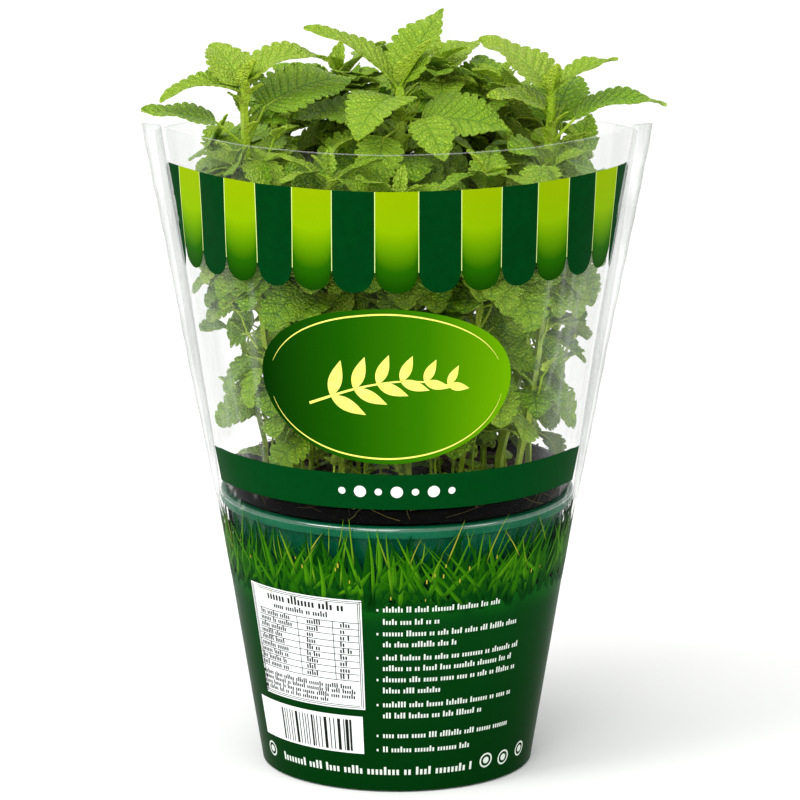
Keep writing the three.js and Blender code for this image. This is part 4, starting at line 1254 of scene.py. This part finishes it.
# The highlight lines are painted highlights: below, they make the film less clear and lighter in tone.
cover_share = film_height.rise(0.45, 0.48) * (haze * 0.03 + gloss.rise(0.13, 0.4) * (0.15 + haze * 0.1)) \
    + gloss * gloss * 0.1 + strip_part * open_part * (0.08 + creases * 0.18) + highlight_lines * open_part * 0.3
film_tone = clear.mix(strip_part * 0.6, clear.mix(highlight_lines, "b2b6b4", "e4e6e4"), "909492")
film_surface = clear.surface(
    film_tone, 0.2, 0.3, Normal=clear.bump(haze + strip_part * creases, 0.002, 0.4))
see_through = clear.node("ShaderNodeBsdfTransparent", None, {"Color": (1.0, 1.0, 1.0, 1.0)})
film_finish = clear.done(clear.node(
    "ShaderNodeMixShader", None, {0: cover_share, 1: see_through, 2: film_surface}))
film.piece("film_sleeve", film_finish, "film", ["sleeve"])

# %% [markdown]
# ## Ink on the film
# The film is printed with opaque ink. Each printed shape is a thin patch of mesh that lies just
# outside the film and follows its folds, so one function that sends an angle and a height to the
# film is all it needs. A shape's colours come from marks on its points.


# %% Ink patches
def arc(mm, z):
    """The angle that so many millimetres along the film take up at a height."""
    return np.degrees(np.asarray(mm, float) / sleeve_radius(z))


def patch(heap, angle, z, lift, tone, up=0.0, side=0.0):
    """A grid of points on the film with three marks; rows run up, columns to the right."""
    points = film_place(angle, z, lift)
    shape = points.shape[:2]
    marks = np.stack([np.broadcast_to(mark, shape) for mark in (tone, up, side)], -1)
    heap.add(points, [grid_faces(*shape)], ink=marks.reshape(-1, 3))


def bar(heap, left, right, low, high, lift=0.35, tone=0.0, columns=None):
    """A straight bar of ink between two places in millimetres along the film."""
    columns = columns or max(2, int((right - left) / 3) + 2)
    z = np.linspace(low, high, 3 if high - low > 3 else 2)[:, None]
    patch(heap, arc(np.linspace(left, right, columns)[None], (low + high) / 2), z, lift, tone)


print("a millimetre of the film at the band takes", round(float(arc(1, 107)), 2), "degrees")

# %% Strokes, ticks and ink
INK_GLOSS = 0.008
TICK_WIDTH, TICK_STEP, TICK_GAP = 0.42, 0.72, 0.6  # shares of the ticks' size


def stroke(heap, mm, z, width):
    """A line of light ink of changing width along points on the film."""
    step = np.stack([np.gradient(mm), np.gradient(z)], -1)
    step /= np.linalg.norm(step, axis=1)[:, None]
    half = np.asarray(width)[:, None] / 2 * np.array([[-1.0, 1.0]])
    across_mm = mm[:, None] + step[:, 1:] * half
    patch(heap, arc(across_mm, z[:, None]), z[:, None] - step[:, :1] * half, 0.2, 1.0)


def tick_line(heap, left, right, z, size, lift=0.35, tone=0.0):
    """A row of short upright ticks in groups, where a sleeve has small type."""
    while left < right - size:
        for _ in range(luck.integers(2, 9)):
            if left < right - 0.5 * size:
                tall = size * luck.choice([1.0, 1.0, 1.0, 1.5])
                bar(heap, left, left + TICK_WIDTH * size, z - size / 2, z - size / 2 + tall,
                    lift, tone, columns=2)
                left += TICK_STEP * size
        left += TICK_GAP * size


def print_ink(heap, name, finish, tone, roughness=0.3):
    """Makes the piece with its ink."""
    heap.piece(f"print_{name}", finish.done(finish.surface(tone, roughness, INK_GLOSS)), "film")


print("ticks of a millimetre stand", TICK_STEP, "mm apart")


# %% [markdown]
# ## Awning
# Across the top of the sleeve runs a shop awning of fifteen stripes, lime and dark green in turn,
# with round scallops. The film was printed flat, so a stripe keeps its width in millimetres while
# the cone narrows, and its angle grows downwards.

# %% Awning
STRIPES = 15
AWNING_TOP = 211.2
SCALLOP_TOP = 182.9
SCALLOP = 6.5


def stripe_edge(k, z):
    """The angle of the line between two stripes; the outermost ones end at the seam."""
    seam = seam_angle(z) + 1.5
    return np.clip(arc(14.03 * k - 0.022 * k ** 3, z), -seam, seam)


awning = Heap("ink")
u = np.linspace(-1, 1, 13)[None]
v = np.linspace(0, 1, 16)[:, None]
for i in range(STRIPES):
    bottom = SCALLOP_TOP - SCALLOP * np.sqrt(np.maximum(0.0, 1 - u ** 2))
    z = bottom + (AWNING_TOP - bottom) * v
    low_edge, high_edge = stripe_edge(i - 7.5, z) + 0.1, stripe_edge(i - 6.5, z) - 0.1
    patch(awning, low_edge + (high_edge - low_edge) * (u + 1) / 2, z, 0.1, float(i % 2 == 0), v)
    if i < STRIPES - 1:
        z = np.linspace(183.5, AWNING_TOP, 16)[:, None]
        patch(awning, stripe_edge(i - 6.5, z) + np.array([[-0.14, 0.14]]), z, 0.08, 0.0, side=1.0)
ink = Finish("awning_ink")
dark_stripe, height_in, light_line = ink.marks("ink")
lime = ink.node("ShaderNodeValToRGB", {"stops": [
    (0.0, "0e3c00"), (0.2, "1e5900"), (0.42, "5c8c00"), (0.6, "7ea400"), (1.0, "86a200")]}, {0: height_in})
# The dark stripes are mottled with lighter patches of painted sheen.
awning_tone = ink.mix(dark_stripe, lime, ink.mix(ink.noise(300.0), "002e0a", "003c14"))
print_ink(awning, "awning", ink, ink.mix(light_line, awning_tone, "cfe08a"))

# %% [markdown]
# ## Badge and band
# Under the awning stand an oval badge with a sprig on it and a dark band with a row of dots. The
# badge shades from dark green to lime, and two thin light arcs follow its edge.

# %% Badge
BADGE = SimpleNamespace(mm=-4.0, z=144.0, wide=43.0, high=27.0)
SPRIG_LEAVES = 6


def oval(share, turn):
    return BADGE.mm + share * BADGE.wide * np.cos(turn), BADGE.z + share * BADGE.high * np.sin(turn)


def sprig(t):
    return BADGE.mm - 25 + 50 * t, BADGE.z - 7 + 9 * np.sin(2.4 * t)


badge = Heap("ink")
mm, z = oval(np.linspace(0.02, 1, 12)[:, None], np.linspace(0, 2 * np.pi, 97)[None])
patch(badge, arc(mm, BADGE.z), z, 0.1, 0.0, (mm - BADGE.mm) / BADGE.wide / 2 + 0.5)
arc_width = 0.6 * np.sin(np.linspace(0.15, math.pi - 0.15, 60))
for start, end in ((0.3, 2.9), (3.4, 6.1)):
    stroke(badge, *oval(0.93, np.linspace(start, end, 60)), arc_width)
t = np.linspace(0, 1, 24)
stroke(badge, *sprig(t), 0.9 - 0.5 * t)
for i in range(SPRIG_LEAVES):
    mm, z = sprig((i + 1) / 6.6)
    size = 13.0 - 1.1 * i
    for side in (-1, 1):
        way = math.radians(24 + side * (52 - 3 * i))
        stroke(badge, mm + size * t * math.cos(way), z + size * t * math.sin(way),
               (4.4 - 0.3 * i) * np.sin(math.pi * t ** 0.8) + 0.05)
ink = Finish("badge_ink")
light_ink, side_in = ink.marks("ink")[:2]
badge_ramp = ink.node("ShaderNodeValToRGB", {"stops": [
    (0.0, "022600"), (0.35, "155000"), (0.65, "306f00"), (1.0, "66a000")]}, {0: side_in})
light_tone = ink.mix(ink.noise(500.0), "e6e04a", "f3ef86")
print_ink(badge, "badge", ink, ink.mix(light_ink, badge_ramp, light_tone))

# %% Band
BAND = SimpleNamespace(low=101.0, high=113.3, half=76.2, dots=107.2)
band = Heap("ink")
patch(band, arc(np.linspace(-BAND.half, BAND.half, 90), 107.0)[None],
      np.linspace(BAND.low, BAND.high, 4)[:, None], 0.1, 0.0)
turn = np.linspace(0, 2 * np.pi, 25)[None]
for k in range(-3, 4):
    size = 1.2 if k % 2 else 2.0
    share = np.linspace(0.05, 1, 3)[:, None] * size
    patch(band, arc(6.0 * k + share * np.cos(turn), 107.0), BAND.dots + share * np.sin(turn), 0.2, 1.0)
ink = Finish("band_ink")
dark_tone = ink.mix(ink.noise(500.0), "003610", "023e14")
print_ink(band, "band", ink, ink.mix(ink.marks("ink")[0], dark_tone, "e9ede6"))

# %% [markdown]
# ## Field and grass
# Round the pot the film is printed solid dark green, with a border of grass that grows out of it
# and over the pot's rim. Every blade is a curved strip that narrows to a point. Blades are drawn
# in layers, dark ones first, as a printer would do.

# %% Field
FIELD_TOP = 68.0
field = Heap("ink")
z = np.linspace(0.6, FIELD_TOP, 16)[:, None]
patch(field, np.linspace(-180, 180, 181)[None], z, 0.06, 0.0, z / FIELD_TOP)
ink = Finish("field_ink")
height_in = ink.marks("ink")[1]
blotch = ink.noise(60.0, 3.0)
field_tone = ink.mix((height_in * 0.7 + blotch * 0.3).rise(0.2, 1.0), "022f09", "053a10")
lighter = height_in.rise(0.86, 1.0) * blotch.rise(0.2, 0.7)
print_ink(field, "field", ink, ink.mix(lighter, field_tone, "0c5410"))

# %% Grass
LAYERS = (  # count, foot, tip, width, lean, tone
    (150, 65, 77, 4.6, 6, 0.02), (170, 66, 90, 2.8, 11, 0.12), (190, 66, 85, 2.6, 12, 0.36),
    (130, 66, 88, 2.2, 13, 0.5), (120, 67, 82, 2.4, 13, 0.64), (100, 70, 91, 1.2, 14, 0.7),
    (70, 80, 94, 0.5, 7, 0.86))
GRASS_AT = 75.0
SPECKS = 60
SIDES = np.array([[-1.0, 0.0, 1.0]])
grass = Heap("ink")
t = np.linspace(0, 1, 8)[:, None]
for layer, (count, low, high, wide, lean_most, tone) in enumerate(LAYERS):
    for k in range(count):
        start = -180 + 360 * (k + luck.uniform(0.1, 0.9)) / count
        foot = luck.uniform(low - 2, low + 6)
        tip = luck.uniform(high - 7, high + 4)
        lean = luck.uniform(-1, 1) * lean_most
        curl = luck.normal(0, 1.5)
        mid = start + arc(lean * t + curl * t * t, GRASS_AT)
        half = arc(wide / 2, GRASS_AT) * np.minimum(1, 0.5 + 2 * t) * (1 - t ** 2.4)
        half = half * luck.uniform(0.6, 1.1) + 0.02
        angle = (mid + half * SIDES + 180) % 360 - 180
        if angle.max() - angle.min() < 180:
            patch(grass, angle, foot + (tip - foot) * t, 0.1 + 0.03 * layer + 0.02 * luck.random(),
                  tone + luck.uniform(-0.24, 0.1), t, SIDES)
for k in range(SPECKS):
    size = luck.uniform(0.12, 0.26)
    start, middle = luck.uniform(-179, 178), luck.uniform(67, 82)
    patch(grass, start + arc(size * SIDES, GRASS_AT), middle + 3.0 * size * SIDES.T, 0.36, 1.0, 0.5)
ink = Finish("grass_ink")
tone_in, height_in, side_in = ink.marks("ink")
blade_tone = ink.node("ShaderNodeValToRGB", {"stops": [
    (0.0, "022803"), (0.16, "053c08"), (0.38, "174e02"), (0.52, "286404"), (0.7, "427e0a"),
    (0.86, "71901e"), (1.0, "b3a83c")]}, {0: tone_in})
blade_tone = ink.mix(side_in.rise(-0.1, 0.1) * 0.3, blade_tone, "04380b")
print_ink(grass, "grass", ink, ink.mix(height_in.rise(0.0, 0.3), "04380b", blade_tone), 0.35)

# %% [markdown]
# ## Panels and lines
# On the dark field stand two white panels, one ruled like a form and one with upright bars, and
# beside them rows of short light ticks where a shop's sleeve has small type. They are rules and
# ticks only, with nothing to read.

# %% Panels
FORM = (-54.0, -11.0, 29.5, 68.5)  # left, right, foot, top
FORM_ROWS = 10
LINE = 0.22
panels = Heap("ink")
bar(panels, *FORM, 0.3, 1.0)
for edge in (0.5, 1.1):
    left, right, low, high = (side + way * edge for side, way in zip(FORM, (1, -1, 1, -1)))
    bar(panels, left, right, high - 0.2, high)
    bar(panels, left, right, low, low + 0.2)
    bar(panels, left, left + LINE, low, high)
    bar(panels, right - LINE, right, low, high)
tick_line(panels, -48.0, -17.5, 65.2, 1.9)
tick_line(panels, -45.0, -21.0, 62.2, 1.3)
for row in range(FORM_ROWS):
    at = 60.2 - 2.3 * row
    bar(panels, -52.7, -12.3, at, at + LINE)
    if row < FORM_ROWS - 1:
        for start, most in ((-51.8, 16.0), (-31.0, 6.0), (-18.8, 4.2)):
            tick_line(panels, start, start + most * luck.uniform(0.7, 1.0), at - 1.1, 1.25)
for at in (-34.0, -21.0):
    bar(panels, at, at + LINE, 39.5, 60.3)
for row in range(4):
    tick_line(panels, -52.0, -13.5 - 9.0 * (row == 3), 37.2 - 1.75 * row, 1.1)
bar(panels, -54.6, -11.0, 13.6, 27.0, 0.3, 1.0)
at = -42.5
while at < -14.7:
    wide = luck.choice([0.35, 0.35, 0.7, 1.05])
    bar(panels, at, at + wide, 14.4, 25.6)
    at += wide + luck.choice([0.35, 0.7, 1.05])
ink = Finish("panel_ink")
dark_ink = ink.mix(ink.noise(700.0), "141714", "20241f")
print_ink(panels, "panels", ink, ink.mix(ink.marks("ink")[0], dark_ink, "e8ebea"), 0.35)

# %% Lines of ticks
LINE_ENDS = {65.4: 38, 61: 14, 56.9: 44, 53: 20, 48.3: 45, 44.5: 42, 40.5: 44, 36.5: 16, 31.5: 42, 27.5: 30,
             20.4: 41, 15.3: 26}
BULLETS = (65.4, 56.9, 48.3, 40.5, 31.5, 20.4, 15.3)
lines = Heap("ink")
for z, end in LINE_ENDS.items():
    tick_line(lines, -4.5, end, z, 1.35, 0.34, 1.0)
for z in BULLETS:
    bar(lines, -6.6, -6.0, z - 0.4, z + 0.4, 0.34, 1.0)
tick_line(lines, -43.0, 27.0, 7.3, 1.9, 0.2, 1.0)
turn = np.linspace(0, 2 * np.pi, 33)[None]
for centre, z in ((-62.7, 8.4), (39.4, 8.5), (49.4, 7.9), (60.9, 8.7)):
    for ring in ([[0.78], [1.0]], [[0.02], [0.45]]):
        radius = 2.6 * np.array(ring)
        patch(lines, centre + arc(radius * np.cos(turn), 8.0), z + radius * np.sin(turn), 0.2, 1.0)
ink = Finish("line_ink")
print_ink(lines, "lines", ink, ink.mix(ink.noise(900.0), "c9d6c9", "dfe8dc"), 0.35)

# %% [markdown]
